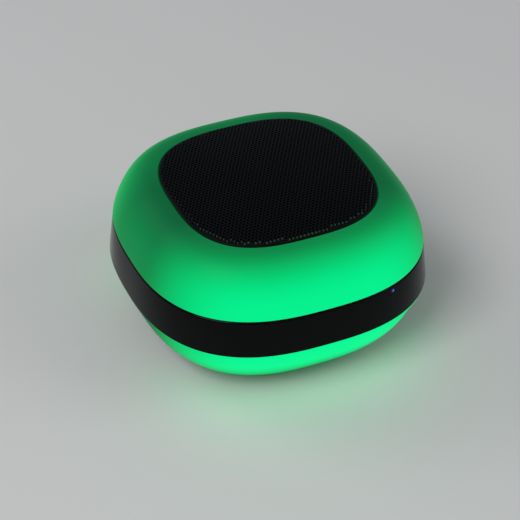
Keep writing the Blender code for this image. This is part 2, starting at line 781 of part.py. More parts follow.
def make_driver_soft_parts():
    """Rubber roll surround, cloth damper, gasket and the terminal strip."""
    sheet = 0.45 * MM
    roll_inner = CONE_RADIUS + GAP
    flange_low = FLANGE_TOP + GAP
    middle = (roll_inner + ROLL_OUTER) / 2
    reach = (ROLL_OUTER - roll_inner) / 2
    rise = 1.2 * MM
    steps = 4
    over = []
    under = []
    for i in range(steps + 1):
        angle = math.pi * i / steps
        across = reach * math.cos(angle)
        up = rise * math.sin(angle)
        over.append((middle + across, flange_low + sheet + up))
        under.append((middle + across * 0.85, flange_low + up))
    surround = [
        (ROLL_OUTER + 1.3 * MM, flange_low + sheet),
        (ROLL_OUTER + 1.3 * MM, flange_low),
        *under,
        (roll_inner, flange_low),
        *reversed(over),
    ]
    turned("driver_surround", surround, BLACK_RUBBER, INNER_STEPS)
    shelf = TOP_PLATE_TOP + 4.1 * MM
    spider = ring_profile(COIL_OUTER + GAP, 19.9 * MM, shelf + GAP, shelf + GAP + sheet)
    turned("driver_spider", spider, DAMPER_CLOTH, INNER_STEPS)
    gasket_low = flange_low + sheet + GAP
    gasket = ring_profile(ROLL_OUTER + 0.3 * MM, ROLL_OUTER + 1.3 * MM, gasket_low, gasket_low + 0.6 * MM)
    turned("driver_gasket", gasket, FOAM, INNER_STEPS)
    block(
        "driver_terminal",
        (-4.0 * MM, 23.1 * MM, 43.5 * MM),
        (4.0 * MM, 24.1 * MM, 48.5 * MM),
        GREEN_BOARD,
    )


# Lights, boards, controls and battery.


def make_lights():
    """Two ring boards, each with four light packages that stand nearer the front and back than the sides."""
    upper = ring_profile(37.0 * MM, 48.5 * MM, UPPER_RING_BOTTOM, UPPER_RING_BOTTOM + BOARD_SHEET)
    lower = ring_profile(38.5 * MM, 46.0 * MM, LOWER_RING_BOTTOM, LOWER_RING_BOTTOM + BOARD_SHEET)
    squared(turned("led_ring_upper", upper, WHITE_BOARD, INNER_STEPS))
    squared(turned("led_ring_lower", lower, WHITE_BOARD, INNER_STEPS))
    upper_height = UPPER_RING_BOTTOM + BOARD_SHEET + GAP + LED_HEIGHT / 2
    lower_height = LOWER_RING_BOTTOM - GAP - LED_HEIGHT / 2
    rows = (("upper", UPPER_LED_HALF_WIDTH, upper_height), ("lower", LOWER_LED_HALF_WIDTH, lower_height))
    for row, half_width, height in rows:
        for i, direction in enumerate(LED_DIRECTIONS, 1):
            reach = superellipse(direction, half_width, BODY_EXPONENT)
            centre = (reach * math.cos(direction), reach * math.sin(direction), height)
            size = (LED_SIDE, LED_SIDE, LED_HEIGHT)
            led = box(f"led_{row}_{i}", centre, size, LED_WHITE, bevel=0.25 * MM)
            led.rotation_euler.z = direction


def make_main_board():
    """Main board behind the back of the belt, with its module and amplifier."""
    low = MAIN_BOARD_TOP - BOARD_SHEET
    block("main_board", (-26 * MM, 35.3 * MM, low), (26 * MM, 49.0 * MM, MAIN_BOARD_TOP), GREEN_BOARD)
    block(
        "bluetooth_module",
        (-21.5 * MM, 36.2 * MM, ON_BOARD),
        (-8.5 * MM, 44.6 * MM, ON_BOARD + 2.0 * MM),
        STEEL,
        bevel=0.2 * MM,
    )
    block(
        "amplifier_chip",
        (5.0 * MM, 37.0 * MM, ON_BOARD),
        (10.0 * MM, 42.0 * MM, ON_BOARD + 1.0 * MM),
        MATTE_BLACK,
        bevel=0.1 * MM,
    )


def make_usb_socket():
    """Charging socket: an oval metal shell with a tongue inside, open at the back of the speaker."""
    front = 53.8 * MM
    depth = 8.2 * MM
    opening = 6.2 * MM
    middle = (USB_X, front - depth / 2, USB_HEIGHT)
    socket = prism("usb_socket", capsule(8.94 * MM, 3.26 * MM), depth, middle, ALONG_Y, STEEL)
    mouth = (USB_X, front + 1 * MM - (opening + 1 * MM) / 2, USB_HEIGHT)
    hollow = prism(
        "usb_hollow",
        capsule(8.34 * MM, 2.56 * MM),
        opening + 1 * MM,
        mouth,
        ALONG_Y,
        collection=CUTTERS,
    )
    tongue_low = (USB_X - 3.3 * MM, front - depth + 0.6 * MM, USB_HEIGHT - 0.35 * MM)
    tongue_high = (USB_X + 3.3 * MM, front - 1.3 * MM, USB_HEIGHT + 0.35 * MM)
    cut(socket, hollow)
    join(socket, block("usb_tongue", tongue_low, tongue_high, collection=CUTTERS))


def make_aux_jack():
    """3.5 mm audio jack with a round nose through the belt."""
    low = (AUX_X - 3.2 * MM, 40.0 * MM, ON_BOARD)
    high = (AUX_X + 3.2 * MM, 51.1 * MM, ON_BOARD + 5.0 * MM)
    jack = block("aux_jack", low, high, MATTE_BLACK)
    nose_middle = (AUX_X, 52.2 * MM, AUX_HEIGHT)
    join(
        jack,
        rod("aux_nose", nose_middle, 2.9 * MM, 4.0 * MM, turn=ALONG_Y, steps=24, collection=CUTTERS),
    )
    bore_middle = (AUX_X, 49.0 * MM, AUX_HEIGHT)
    cut(jack, rod("aux_bore", bore_middle, 1.8 * MM, 12 * MM, turn=ALONG_Y, steps=20, collection=CUTTERS))


def make_power_switch():
    """Slide switch. At rest it is on, at +X, and it slides 3 mm towards -X to off."""
    reach = SWITCH_TRAVEL / 2
    low = (-5.0 * MM, 45.3 * MM, ON_BOARD)
    high = (5.0 * MM, 49.3 * MM, ON_BOARD + 3.6 * MM)
    body = block("switch_body", low, high, STEEL)
    track = (SWITCH_TRAVEL + 3.2 * MM, 5 * MM, 2.4 * MM)
    cut(body, box("switch_track", (0, high[1], SWITCH_HEIGHT), track, collection=CUTTERS))
    stem = (1.4 * MM, 7.9 * MM, 1.6 * MM)
    stem_back = high[1] - 2.0 * MM
    knob = box("switch_knob", (reach, stem_back + stem[1] / 2, SWITCH_HEIGHT), stem, MATTE_BLACK)
    pad_low = (reach - 1.2 * MM, 52.6 * MM, SWITCH_HEIGHT - 0.8 * MM)
    pad_high = (reach + 1.2 * MM, RIM_HALF_WIDTH, SWITCH_HEIGHT + 0.8 * MM)
    join(knob, block("switch_pad", pad_low, pad_high, collection=CUTTERS))


def button_places():
    """How far the four buttons are from the middle of the side."""
    return [BUTTON_PITCH * (i - 1.5) for i in range(4)]


def filled_body(name, low, high):
    """A solid block with the body's outline, used to trim the buttons; its ends are (half width, height)."""
    profile = [(0.0, high[1]), high, low, (0.0, low[1])]
    return squared(turned(name, profile, None, 2 * OUTER_STEPS, joined=False, collection=CUTTERS))


def make_buttons():
    """Four press buttons on the right side, each with a flange behind the belt and a switch behind it."""
    low = 10 * MM
    high = 50 * MM
    face_low = (belt_half_width(low) + BUTTON_PROUD, low)
    face_high = (belt_half_width(high) + BUTTON_PROUD, high)
    face = filled_body("button_face", face_low, face_high)
    back = filled_body("button_flange_face", (BELT_INNER - GAP, low), (BELT_INNER - GAP, high))
    reach = 14 * MM
    middle = BUTTON_BACK + reach / 2
    for name, across in zip(BUTTON_NAMES, button_places()):
        centre = (middle, across, BUTTON_HEIGHT)
        wide = capsule(BUTTON_LENGTH + 1.8 * MM, BUTTON_WIDTH + 1.8 * MM)
        flange = prism(f"flange_{name}", wide, reach, centre, ALONG_X, collection=CUTTERS)
        boolean(flange, back, "INTERSECT")
        outline = capsule(BUTTON_LENGTH, BUTTON_WIDTH)
        button = prism(f"button_{name}", outline, reach, centre, ALONG_X, GLOSS_BLACK)
        boolean(button, face, "INTERSECT")
        join(button, flange)


def make_button_board():
    """Upright board behind the buttons, with a tactile switch for each."""
    front = 43.5 * MM
    board_low = (front - BOARD_SHEET, -26 * MM, 26.6 * MM)
    block("button_board", board_low, (front, 26 * MM, SHELF_BOTTOM - GAP), GREEN_BOARD)
    plunger_end = BUTTON_BACK - BUTTON_TRAVEL - 0.1 * MM
    case_back = front + GAP
    case_depth = 2.1 * MM
    plunger_back = case_back + case_depth / 2
    for i, across in enumerate(button_places(), 1):
        case_middle = (case_back + case_depth / 2, across, BUTTON_HEIGHT)
        case = box(f"tact_switch_{i}", case_middle, (case_depth, 4.6 * MM, 4.6 * MM), MATTE_BLACK)
        plunger = rod(
            f"plunger_{i}",
            ((plunger_back + plunger_end) / 2, across, BUTTON_HEIGHT),
            1.2 * MM,
            plunger_end - plunger_back,
            turn=ALONG_X,
            collection=CUTTERS,
        )
        join(case, plunger)


def make_battery():
    """Flat battery cell on the base plate, with a foam pad between it and the cup."""
    low = PLATE_BOTTOM + PLATE_FLOOR + 0.4 * MM
    middle = (0, 0, low + BATTERY_SIZE.z / 2)
    box("battery_cell", middle, BATTERY_SIZE, CELL_FOIL, bevel=0.8 * MM)
    pad_low = low + BATTERY_SIZE.z + GAP
    block("battery_pad", (-23 * MM, -15 * MM, pad_low), (23 * MM, 15 * MM, CUP_BOTTOM - GAP), FOAM)


def make_wires():
    """Two wires from the board to the driver, and one from the battery up to the board, in millimetres."""
    speaker_route = [(24.6, 43.0), (26.0, 37.0), (29.5, 32.0), (34.5, 30.9), (37.8, 30.6), (39.6, 29.2)]
    for name, side, finish in (("positive", -1, RED_WIRE), ("negative", 1, BLACK_RUBBER)):
        route = [(2.0 * side, y, z) for y, z in speaker_route]
        wire(f"speaker_lead_{name}", route, 0.5 * MM, finish)
    battery_route = [(17.4, 8.4), (23.0, 8.4), (30.0, 9.2), (35.4, 13.0), (36.6, 20.0), (36.6, 26.5)]
    wire("battery_lead", [(12.0, y, z) for y, z in battery_route], 0.6 * MM, RED_WIRE)


make_upper_diffuser()
make_lower_lens()
make_belt()
make_base()
make_grille()
make_baffle()
make_cup()
make_driver_motor()
make_driver_frame()
make_driver_cone()
make_driver_soft_parts()
make_lights()
make_main_board()
make_usb_socket()
make_aux_jack()
make_power_switch()
make_buttons()
make_button_board()
make_battery()
make_wires()
status_rod("status_light_pipe", 0.65 * MM, 0.1 * MM, 4.0 * MM, BLUE_LIGHT)
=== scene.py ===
"""Looks of a glowing rounded-square speaker: fine meshes and procedural materials around the frame.

Metres, +Z up, the front at -Y, the press buttons at +X, the sockets and the power switch at the back (+Y).
"""

import math

import bmesh
import bpy
from mathutils import Matrix, Vector
from mathutils.geometry import delaunay_2d_cdt, interpolate_bezier


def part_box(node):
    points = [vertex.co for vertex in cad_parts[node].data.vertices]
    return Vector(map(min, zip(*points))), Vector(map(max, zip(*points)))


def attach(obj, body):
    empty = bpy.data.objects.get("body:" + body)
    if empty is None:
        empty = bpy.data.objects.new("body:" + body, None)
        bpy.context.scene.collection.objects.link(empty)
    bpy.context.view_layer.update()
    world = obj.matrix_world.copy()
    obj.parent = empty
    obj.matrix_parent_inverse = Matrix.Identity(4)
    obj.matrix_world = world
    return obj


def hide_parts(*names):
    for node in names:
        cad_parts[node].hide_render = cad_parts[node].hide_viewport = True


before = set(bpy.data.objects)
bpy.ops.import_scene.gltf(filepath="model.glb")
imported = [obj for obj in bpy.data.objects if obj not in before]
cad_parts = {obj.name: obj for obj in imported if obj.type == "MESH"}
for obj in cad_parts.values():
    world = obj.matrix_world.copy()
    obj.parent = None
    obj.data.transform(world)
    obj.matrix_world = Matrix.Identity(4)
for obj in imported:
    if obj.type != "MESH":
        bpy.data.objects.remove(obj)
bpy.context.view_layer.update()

# A millimetre, the gap between neighbours, the usual rounding of an edge, and a quarter turn.
MM = 0.001
GAP = 0.3 * MM
SOFT_EDGE = 0.3 * MM
QUARTER = math.pi / 2

# Detail of the meshes: points round a section, steps of a rounded corner and of a bar's round end, the
# angle of a sharp crease, and how near two points are when they are merged.
AROUND = 288
CORNER_STEPS = 4
END_STEPS = 10
CREASE = math.radians(32)
MERGE = 0.0005 * MM

# Places and sizes that the frame gives.
BELT_LOW, BELT_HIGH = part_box("belt_band")
GRILLE_LOW, GRILLE_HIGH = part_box("grille")
CLOTH_LOW, CLOTH_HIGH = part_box("grille_cloth")
PLATE_LOW, PLATE_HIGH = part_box("base_plate")
FOOT_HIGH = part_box("foot_ring")[1]
SHELL_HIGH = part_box("upper_diffuser")[1]
HALF_WIDTH = SHELL_HIGH.x
RIM_HALF_WIDTH = BELT_HIGH.x

# Outline of the body and shapes of its shells.
BODY_EXPONENT = 2.6
GRILLE_EXPONENT = 2.83
SHELL_WALL = 2.0 * MM
BELT_INNER = HALF_WIDTH - 2.2 * MM
SPIGOT_OUTER = BELT_INNER - 0.4 * MM
SPIGOT_INNER = SPIGOT_OUTER - 1.5 * MM
SPIGOT_DEPTH = 1.5 * MM

# Upper shell: the powers round off its side and its top, and the ledge carries the grille.
SHELL_BOTTOM = BELT_HIGH.z + GAP
SHELL_TOP = SHELL_HIGH.z
SHELL_OPENING = GRILLE_HIGH.x + 0.4 * MM
SHELL_SIDE_POWER = 0.90
SHELL_TOP_POWER = 1.465
LEDGE_DROP = 1.0 * MM
LEDGE_SHEET = 1.2 * MM
LEDGE_WIDTH = 1.5 * MM

# Lower bowl: its curve leans in at the top, and the pulls are the lengths of the curve's handles.
LENS_TOP = BELT_LOW.z - GAP
LENS_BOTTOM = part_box("lower_lens")[0].z
LENS_LIP = 0.7 * MM
LENS_LIP_WIDTH = RIM_HALF_WIDTH - 0.4 * MM
LENS_TOP_WIDTH = RIM_HALF_WIDTH - 1.8 * MM
LENS_TOP_LEAN = math.radians(7)
LENS_TOP_PULL = 9.9 * MM
LENS_BOTTOM_WIDTH = PLATE_HIGH.x - 1.6 * MM
LENS_BOTTOM_PULL = 8.0 * MM

# Grille: a domed sheet with round holes on a triangular lattice. The holes that are nearer to its edge
# than the lit margin catch the shell's light.
GRILLE_RISE = 3.0 * MM
GRILLE_SHEET = 0.8 * MM
GRILLE_EDGE = 0.35 * MM
GRILLE_MARGIN = 0.95 * MM
LIT_MARGIN = 2.1 * MM
HOLE_PITCH = 1.5 * MM
HOLE_RADIUS = 0.5 * MM
HOLE_POINTS = 12

# Controls and sockets.
BUTTONS = ("light", "volume_down", "play", "volume_up")
BUTTON_SIZE = (10.0 * MM, 5.0 * MM)
BUTTON_PROUD = 0.4 * MM
BUTTON_EDGE = 0.45 * MM
BUTTON_DISH = 0.16 * MM
SWITCH_HEIGHT = 30.3 * MM
SWITCH_WINDOW = (6.2 * MM, 2.3 * MM)
KNOB_PAD_BACK = 52.6 * MM
USB_SIZE = (8.94 * MM, 3.26 * MM)
USB_WINDOW = (9.7 * MM, 3.95 * MM)
AUX_PLACE = (14.0 * MM, 31.0 * MM)
AUX_WINDOW = (6.5 * MM, 6.5 * MM)
AUX_BODY_FRONT = 51.1 * MM
STATUS_X = 27.1 * MM
STATUS_RADIUS = 0.85 * MM


# Mesh helpers.


def superellipse(angle, half_width, exponent):
    """Distance from the axis to a superellipse of that half-width, in that direction."""
    spread = abs(math.cos(angle)) ** exponent + abs(math.sin(angle)) ** exponent
    return half_width * spread ** (-1 / exponent)


def belt_half_width(height):
    """The belt widens from the seam down to its lower rim."""
    share = (BELT_HIGH.z - height) / (BELT_HIGH.z - BELT_LOW.z)
    return HALF_WIDTH + (RIM_HALF_WIDTH - HALF_WIDTH) * share


def side_distance(across, height):
    """How far out a side of the belt is, at that distance from the side's middle and that height."""
    return (belt_half_width(height) ** BODY_EXPONENT - abs(across) ** BODY_EXPONENT) ** (1 / BODY_EXPONENT)


def on_right(across, height, out):
    """A point on the right side, some way out of the belt's face."""
    return Vector((side_distance(across, height) + out, across, height))


def on_back(across, height, out):
    """A point on the back, some way out of the belt's face."""
    return Vector((across, side_distance(across, height) + out, height))


def smooth_between_creases(mesh):
    """Shades a mesh smooth, apart from its sharp creases."""
    mesh.shade_smooth()
    mesh.set_sharp_from_angle(angle=CREASE)


def finish_mesh(name, built, *materials):
    """A new object from a bmesh, with its faces pointing out."""
    bmesh.ops.remove_doubles(built, verts=built.verts, dist=MERGE)
    bmesh.ops.dissolve_degenerate(built, edges=built.edges, dist=MERGE)
    bmesh.ops.recalc_face_normals(built, faces=built.faces)
    mesh = bpy.data.meshes.new(name)
    built.to_mesh(mesh)
    built.free()
    obj = bpy.data.objects.new(name, mesh)
    bpy.context.scene.collection.objects.link(obj)
    for material in materials:
        mesh.materials.append(material)
    smooth_between_creases(mesh)
    return obj


def skin(name, rings, *materials, joined=False, caps=True, second_from=None):
    """A surface through rings of equally many points.

    A joined one runs from its last ring back to its first. Another has a cap at each end, unless caps is
    False. From the ring with the number second_from on, its faces have the second material.
    """
    built = bmesh.new()
    rows = [[built.verts.new(point) for point in ring] for ring in rings]
    pairs = list(zip(rows, rows[1:]))
    if joined:
        pairs.append((rows[-1], rows[0]))
    for number, (one, other) in enumerate(pairs):
        second = second_from is not None and number >= second_from
        for i in range(len(one)):
            j = (i + 1) % len(one)
            face = built.faces.new((one[i], one[j], other[j], other[i]))
            face.material_index = int(second)
    if caps and not joined:
        built.faces.new(rows[0])
        built.faces.new(rows[-1])
    return finish_mesh(name, built, *materials)


def body_exponent(height):
    """The belt, the bowl, the base and the foot have the same outline at every height."""
    return BODY_EXPONENT


def turned(name, profile, *materials, power_at=body_exponent, around=AROUND, joined=True, second_from=None):
    """A profile of (radius, height) points swept round the Z axis, with superellipses for its sections."""
    rings = []
    for radius, height in profile:
        exponent = power_at(height)
        ring = []
        for i in range(around):
            angle = math.tau * i / around
            reach = superellipse(angle, radius, exponent)
            ring.append((reach * math.cos(angle), reach * math.sin(angle), height))
        rings.append(ring)
    return skin(name, rings, *materials, joined=joined, caps=False, second_from=second_from)


def round_exponent(height):
    """A superellipse with the exponent 2 is a circle."""
    return 2.0


def round_turned(name, profile, *materials, place, turn=None, joined=True, around=48):
    """A truly round turned piece, at a place."""
    obj = turned(name, profile, *materials, power_at=round_exponent, around=around, joined=joined)
    obj.data.transform(Matrix.Translation(place) @ (turn or Matrix.Identity(4)))
    return obj


def rounded(corners, steps=CORNER_STEPS, joined=True):
    """The points of a profile whose corners are given.

    A corner is (radius, height) where it is sharp, and (radius, height, rounding) where it is rounded.
    """
    points = []
    count = len(corners)
    for i, (x, y, *rounding) in enumerate(corners):
        corner = Vector((x, y))
        at_end = not joined and i in (0, count - 1)
        if not rounding or at_end:
            points.append(corner)
            continue
        back = (Vector(corners[i - 1][:2]) - corner).normalized()
        ahead = (Vector(corners[(i + 1) % count][:2]) - corner).normalized()
        half = back.angle(ahead) / 2
        centre = corner + (back + ahead).normalized() * (rounding[0] / math.sin(half))
        reach = rounding[0] / math.tan(half)
        start = corner + back * reach - centre
        end = corner + ahead * reach - centre
        turn = -start.angle_signed(end)
        for step in range(steps + 1):
            points.append(centre + Matrix.Rotation(turn * step / steps, 2) @ start)
    return points


def ring_count(corners):
    """How many points rounded makes of corners in its usual steps."""
    return sum(CORNER_STEPS + 1 if len(corner) > 2 else 1 for corner in corners)


def inset(points, wall):
    """The line that runs a wall's thickness inside an outer profile."""
    moved = []
    for i, point in enumerate(points):
        before = Vector(points[max(i - 1, 0)][:2])
        after = Vector(points[min(i + 1, len(points) - 1)][:2])
        along = (after - before).normalized()
        moved.append((point[0] + along.y * wall, point[1] - along.x * wall))
    return moved


def disc(radius, steps=20):
    """Points of a circle round the origin."""
    angles = [math.tau * i / steps for i in range(steps)]
    return [Vector((math.cos(angle), math.sin(angle))) * radius for angle in angles]


def capsule(size, grow):
    """Outline points of a bar with round ends, grown all round."""
    length, width = size
    reach = (length - width) / 2
    radius = width / 2 + grow
    points = []
    for end in (1, -1):
        for i in range(END_STEPS + 1):
            angle = math.pi * i / END_STEPS - QUARTER
            points.append((end * (reach + radius * math.cos(angle)), end * radius * math.sin(angle)))
    return points


def side_rings(side, centre, size, steps):
    """Rings of a bar's outline on a side of the body; each step is (out of the face, grown by)."""
    across, height = centre
    rings = []
    for out, grow in steps:
        outline = capsule(size, grow)
        rings.append([side(across + u, height + v, out) for u, v in outline])
    return rings


def straight_rings(front, centre, size, steps):
    """Rings of a bar's outline on flat planes at the back; each step is (out of the front, grown by)."""
    across, height = centre
    return [[(across + u, front + out, height + v) for u, v in capsule(size, grow)] for out, grow in steps]


def subtract(obj, cutters):
    """Cuts helpers out of an object and throws them away."""
    for cutter in cutters:
        modifier = obj.modifiers.new("Cut", "BOOLEAN")
        modifier.operation = "DIFFERENCE"
        modifier.solver = "EXACT"
        modifier.object = cutter
    bpy.context.view_layer.update()
    evaluated = obj.evaluated_get(bpy.context.evaluated_depsgraph_get())
    mesh = bpy.data.meshes.new_from_object(evaluated)
    obj.modifiers.clear()
    obj.data = mesh
    smooth_between_creases(mesh)
    for cutter in cutters:
        bpy.data.objects.remove(cutter, do_unlink=True)
    return obj


def slab(built, low, high, bevel=0.0):
    """Adds a block to a bmesh, with its edges rounded where a bevel is given."""
    low = Vector(low)
    high = Vector(high)
    size = high - low
    place = Matrix.Translation((low + high) / 2) @ Matrix.Diagonal((*size, 1.0))
    made = bmesh.ops.create_cube(built, size=1.0, matrix=place)
    if bevel:
        edges = list({edge for vertex in made["verts"] for edge in vertex.link_edges})
        bmesh.ops.bevel(built, geom=edges, offset=bevel, segments=3, affect="EDGES", profile=0.5)


def ride(obj, body, slot, *nodes):
    """Puts a piece on its body and hides the CAD nodes that it stands for. The slot is not used."""
    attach(obj, body)
    if nodes:
        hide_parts(*nodes)


# Materials.


class Finish:
    """One material: a Principled shader and short calls for the nodes that feed it."""

    def __init__(self, name, colour, roughness, metallic=0.0, **constants):
        self.material = bpy.data.materials.new(name)
        self.material.use_nodes = True
        self.tree = self.material.node_tree
        self.shader = self.tree.nodes["Principled BSDF"]
        self.colour = (*colour, 1.0)
        self.set("Base Color", self.colour)
        self.set("Roughness", roughness)
        self.set("Metallic", metallic)
        for socket, value in constants.items():
            self.set(socket.replace("_", " "), value)
        self.material.diffuse_color = self.colour
        self.place = self.node("ShaderNodeTexCoord").outputs["Object"]

    def set(self, socket, value):
        """Gives a socket of the shader a constant or another socket's output."""
        if isinstance(value, bpy.types.NodeSocket):
            self.tree.links.new(value, self.shader.inputs[socket])
        else:
            self.shader.inputs[socket].default_value = value

    def node(self, kind, inputs=(), **settings):
        """A node with its settings, its inputs given as (socket, value) pairs."""
        made = self.tree.nodes.new(kind)
        for key, value in settings.items():
            setattr(made, key, value)
        for socket, value in inputs:
            if isinstance(value, bpy.types.NodeSocket):
                self.tree.links.new(value, made.inputs[socket])
            else:
                made.inputs[socket].default_value = value
        return made

    def maths(self, operation, *values):
        """The result of a Math node."""
        return self.node("ShaderNodeMath", enumerate(values), operation=operation).outputs[0]

    def noise(self, scale, detail=3.0, stretch=(1, 1, 1)):
        """Noise from 0 to 1, whose features are about 1 / scale metres across."""
        mapped = self.node("ShaderNodeMapping", [("Vector", self.place), ("Scale", stretch)]).outputs[0]
        inputs = [("Vector", mapped), ("Scale", scale), ("Detail", detail)]
        return self.node("ShaderNodeTexNoise", inputs).outputs["Fac"]

    def cells(self, scale):
        """Distance from the middles of cells that are about 1 / scale metres across."""
        inputs = [("Vector", self.place), ("Scale", scale)]
        return self.node("ShaderNodeTexVoronoi", inputs).outputs["Distance"]

    def spread(self, value, low, high, start=0.0, end=1.0, smooth=False):
        """A value mapped from start..end to low..high."""
        inputs = [
            ("Value", value),
            ("From Min", start),
            ("From Max", end),
            ("To Min", low),
            ("To Max", high),
        ]
        kind = "SMOOTHSTEP" if smooth else "LINEAR"
        return self.node("ShaderNodeMapRange", inputs, interpolation_type=kind).outputs[0]

    def mix(self, factor, first, second):
        """A mix of two colours."""
        inputs = [("Factor", factor), (6, first), (7, second)]
        return self.node("ShaderNodeMix", inputs, data_type="RGBA").outputs[2]

    def tint(self, factor, darker, lighter):
        """Varies the base colour between two shares of itself."""
        shades = [(*(share * channel for channel in self.colour[:3]), 1.0) for share in (darker, lighter)]
        self.set("Base Color", self.mix(factor, *shades))

    def bump(self, height, distance, strength):
        """Bumps the surface, distance being the height in metres."""
        inputs = [("Height", height), ("Distance", distance), ("Strength", strength)]
        self.set("Normal", self.node("ShaderNodeBump", inputs).outputs[0])


# Colour of the glow at each level from 0 to 1.
GLOW_COLOURS = (
    (0.0, (0.05, 1.0, 0.36)),
    (0.25, (0.01, 1.0, 0.25)),
    (0.6, (0.0, 1.0, 0.27)),
    (1.0, (0.0, 1.0, 0.33)),
)

# Where the lights shine most: a direction, its strength, and the cosines of the angles from it where the
# glow starts and where it is full.
GLOW_LOBES = (
    (math.radians(264), 1.0, 0.30, 0.93),
    (math.radians(110), 0.36, 0.55, 0.90),
)

# Levels of the glow, as (gain, start). The shell gains from the grille down to the belt, all round and more
# so near the lights. The bowl gains toward the lights, and is scaled down from their height to its foot.
SHELL_ALL_ROUND = (0.127, 0.10)
SHELL_NEAR_LIGHTS = (0.53, 0.11)
BOWL_NEAR_LIGHTS = (0.81, 0.11)
BOWL_FOOT_SCALE = 0.16
BOWL_LIGHTS_HEIGHT = LENS_BOTTOM + 14.0 * MM


def glow(finish, level):
    """Lets a shell shine with that level, bluish where it is dim or very bright."""
    ramp = finish.node("ShaderNodeValToRGB", [("Fac", level)])
    for i, (place, colour) in enumerate(GLOW_COLOURS):
        stop = ramp.color_ramp.elements[i] if i < 2 else ramp.color_ramp.elements.new(place)
        stop.position = place
        stop.color = (*colour, 1.0)
    finish.set("Emission Color", ramp.outputs[0])
    finish.set("Emission Strength", level)


def toward_lights(finish):
    """Share of the lights' glow on a place's side of the body, and the place's height."""
    parts = finish.node("ShaderNodeSeparateXYZ", [(0, finish.place)]).outputs
    x_squared = finish.maths("MULTIPLY", parts["X"], parts["X"])
    y_squared = finish.maths("MULTIPLY", parts["Y"], parts["Y"])
    radius = finish.maths("SQRT", finish.maths("ADD", x_squared, y_squared))
    shares = []
    for direction, strength, start, full in GLOW_LOBES:
        along_x = finish.maths("MULTIPLY", parts["X"], math.cos(direction))
        along = finish.maths("MULTIPLY_ADD", parts["Y"], math.sin(direction), along_x)
        cosine = finish.maths("DIVIDE", along, radius)
        shares.append(finish.spread(cosine, 0.0, strength, start, full, smooth=True))
    return finish.maths("ADD", *shares), parts["Z"]


def satin(finish):
    """Fine moulded frosting with a little unevenness."""
    finish.tint(finish.noise(60.0), 0.9, 1.1)
    finish.set("Roughness", finish.spread(finish.noise(400.0), 0.34, 0.44))
    finish.bump(finish.noise(2600.0, 2.0), 0.006 * MM, 0.5)
    return finish


def upper_glow():
    """Frosted upper shell: brightest at the front along the belt, dim toward the grille and the sides."""
    finish = satin(Finish("upper_glow", (0.003, 0.030, 0.012), 0.4, Specular_IOR_Level=0.025))
    share, height = toward_lights(finish)
    rise = finish.spread(height, 0.0, 1.0, SHELL_BOTTOM, SHELL_TOP)
    fall = finish.maths("SUBTRACT", 1.0, finish.maths("POWER", rise, 3.0))
    all_round = finish.maths("MULTIPLY_ADD", fall, *SHELL_ALL_ROUND)
    near_lights = finish.maths("MULTIPLY_ADD", fall, *SHELL_NEAR_LIGHTS)
    glow(finish, finish.maths("MULTIPLY_ADD", near_lights, share, all_round))
    return finish.material


def lower_glow():
    """Frosted lower bowl: brightest at the front, near its ring of lights, and dim at its foot."""
    finish = satin(Finish("lower_glow", (0.003, 0.030, 0.014), 0.4, Specular_IOR_Level=0.025))
    share, height = toward_lights(finish)
    scale = finish.spread(height, BOWL_FOOT_SCALE, 1.0, LENS_BOTTOM, BOWL_LIGHTS_HEIGHT, smooth=True)
    level = finish.maths("MULTIPLY_ADD", share, *BOWL_NEAR_LIGHTS)
    glow(finish, finish.maths("MULTIPLY", level, scale))
    return finish.material


def shaded_glow(name, colour, light, strength):
    """A face that the shells' light only just reaches."""
    finish = Finish(name, colour, 0.5, Specular_IOR_Level=0.1)
    finish.tint(finish.noise(80.0), 0.85, 1.15)
    finish.bump(finish.noise(2600.0, 2.0), 0.006 * MM, 0.5)
    finish.set("Emission Color", (*light, 1.0))
    finish.set("Emission Strength", strength)
    return finish.material


def gloss_black():
    """Polished black plastic with faint smudges and a hint of orange peel."""
    finish = Finish("gloss_black", (0.0015, 0.0017, 0.0017), 0.1, Specular_IOR_Level=0.09)
    smudge = finish.noise(45.0, 5.0)
    finish.set("Roughness", finish.spread(smudge, 0.07, 0.16, 0.35, 0.7))
    finish.bump(finish.noise(220.0, 1.0), 0.004 * MM, 0.25)
    return finish.material


def textured_black(name, colour, roughness, grain, depth):
    """Dark moulded plastic or rubber with a fine grain."""
    finish = Finish(name, colour, roughness, Specular_IOR_Level=0.3)
    finish.tint(finish.noise(150.0), 0.7, 1.3)
    finish.set("Roughness", finish.spread(finish.noise(500.0), roughness - 0.08, roughness + 0.08))
    finish.bump(finish.cells(grain), depth, 0.5)
    return finish.material


def painted_grille():
    """Black powder-coated steel."""
    finish = Finish("painted_grille", (0.0022, 0.0028, 0.0032), 0.42, Specular_IOR_Level=0.12)
    finish.tint(finish.noise(90.0), 0.7, 1.3)
    finish.set("Roughness", finish.spread(finish.noise(700.0), 0.34, 0.5))
    finish.bump(finish.noise(3000.0, 2.0), 0.01 * MM, 0.4)
    return finish.material


def woven(name, colour, pitch):
    """Cloth whose threads cross at a pitch."""
    finish = Finish(name, colour, 0.95, Specular_IOR_Level=0.15)
    parts = finish.node("ShaderNodeSeparateXYZ", [(0, finish.place)]).outputs
    waves = []
    for axis in ("X", "Y"):
        turns = finish.maths("MULTIPLY", parts[axis], math.tau / pitch)
        waves.append(finish.maths("SINE", turns))
    weave = finish.spread(finish.maths("MULTIPLY", *waves), 0.0, 1.0, -1.0, 1.0)
    finish.tint(weave, 0.5, 1.5)
    finish.bump(weave, 0.1 * MM, 0.8)
    return finish.material


def metal(name, colour, roughness, stretch=(1, 1, 1)):
    """Bare metal with fine drawn marks."""
    finish = Finish(name, colour, roughness, 1.0)
    marks = finish.noise(900.0, 4.0, stretch)
    finish.tint(marks, 0.85, 1.1)
    finish.set("Roughness", finish.spread(marks, roughness - 0.08, roughness + 0.1))
    finish.bump(marks, 0.004 * MM, 0.4)
    return finish.material


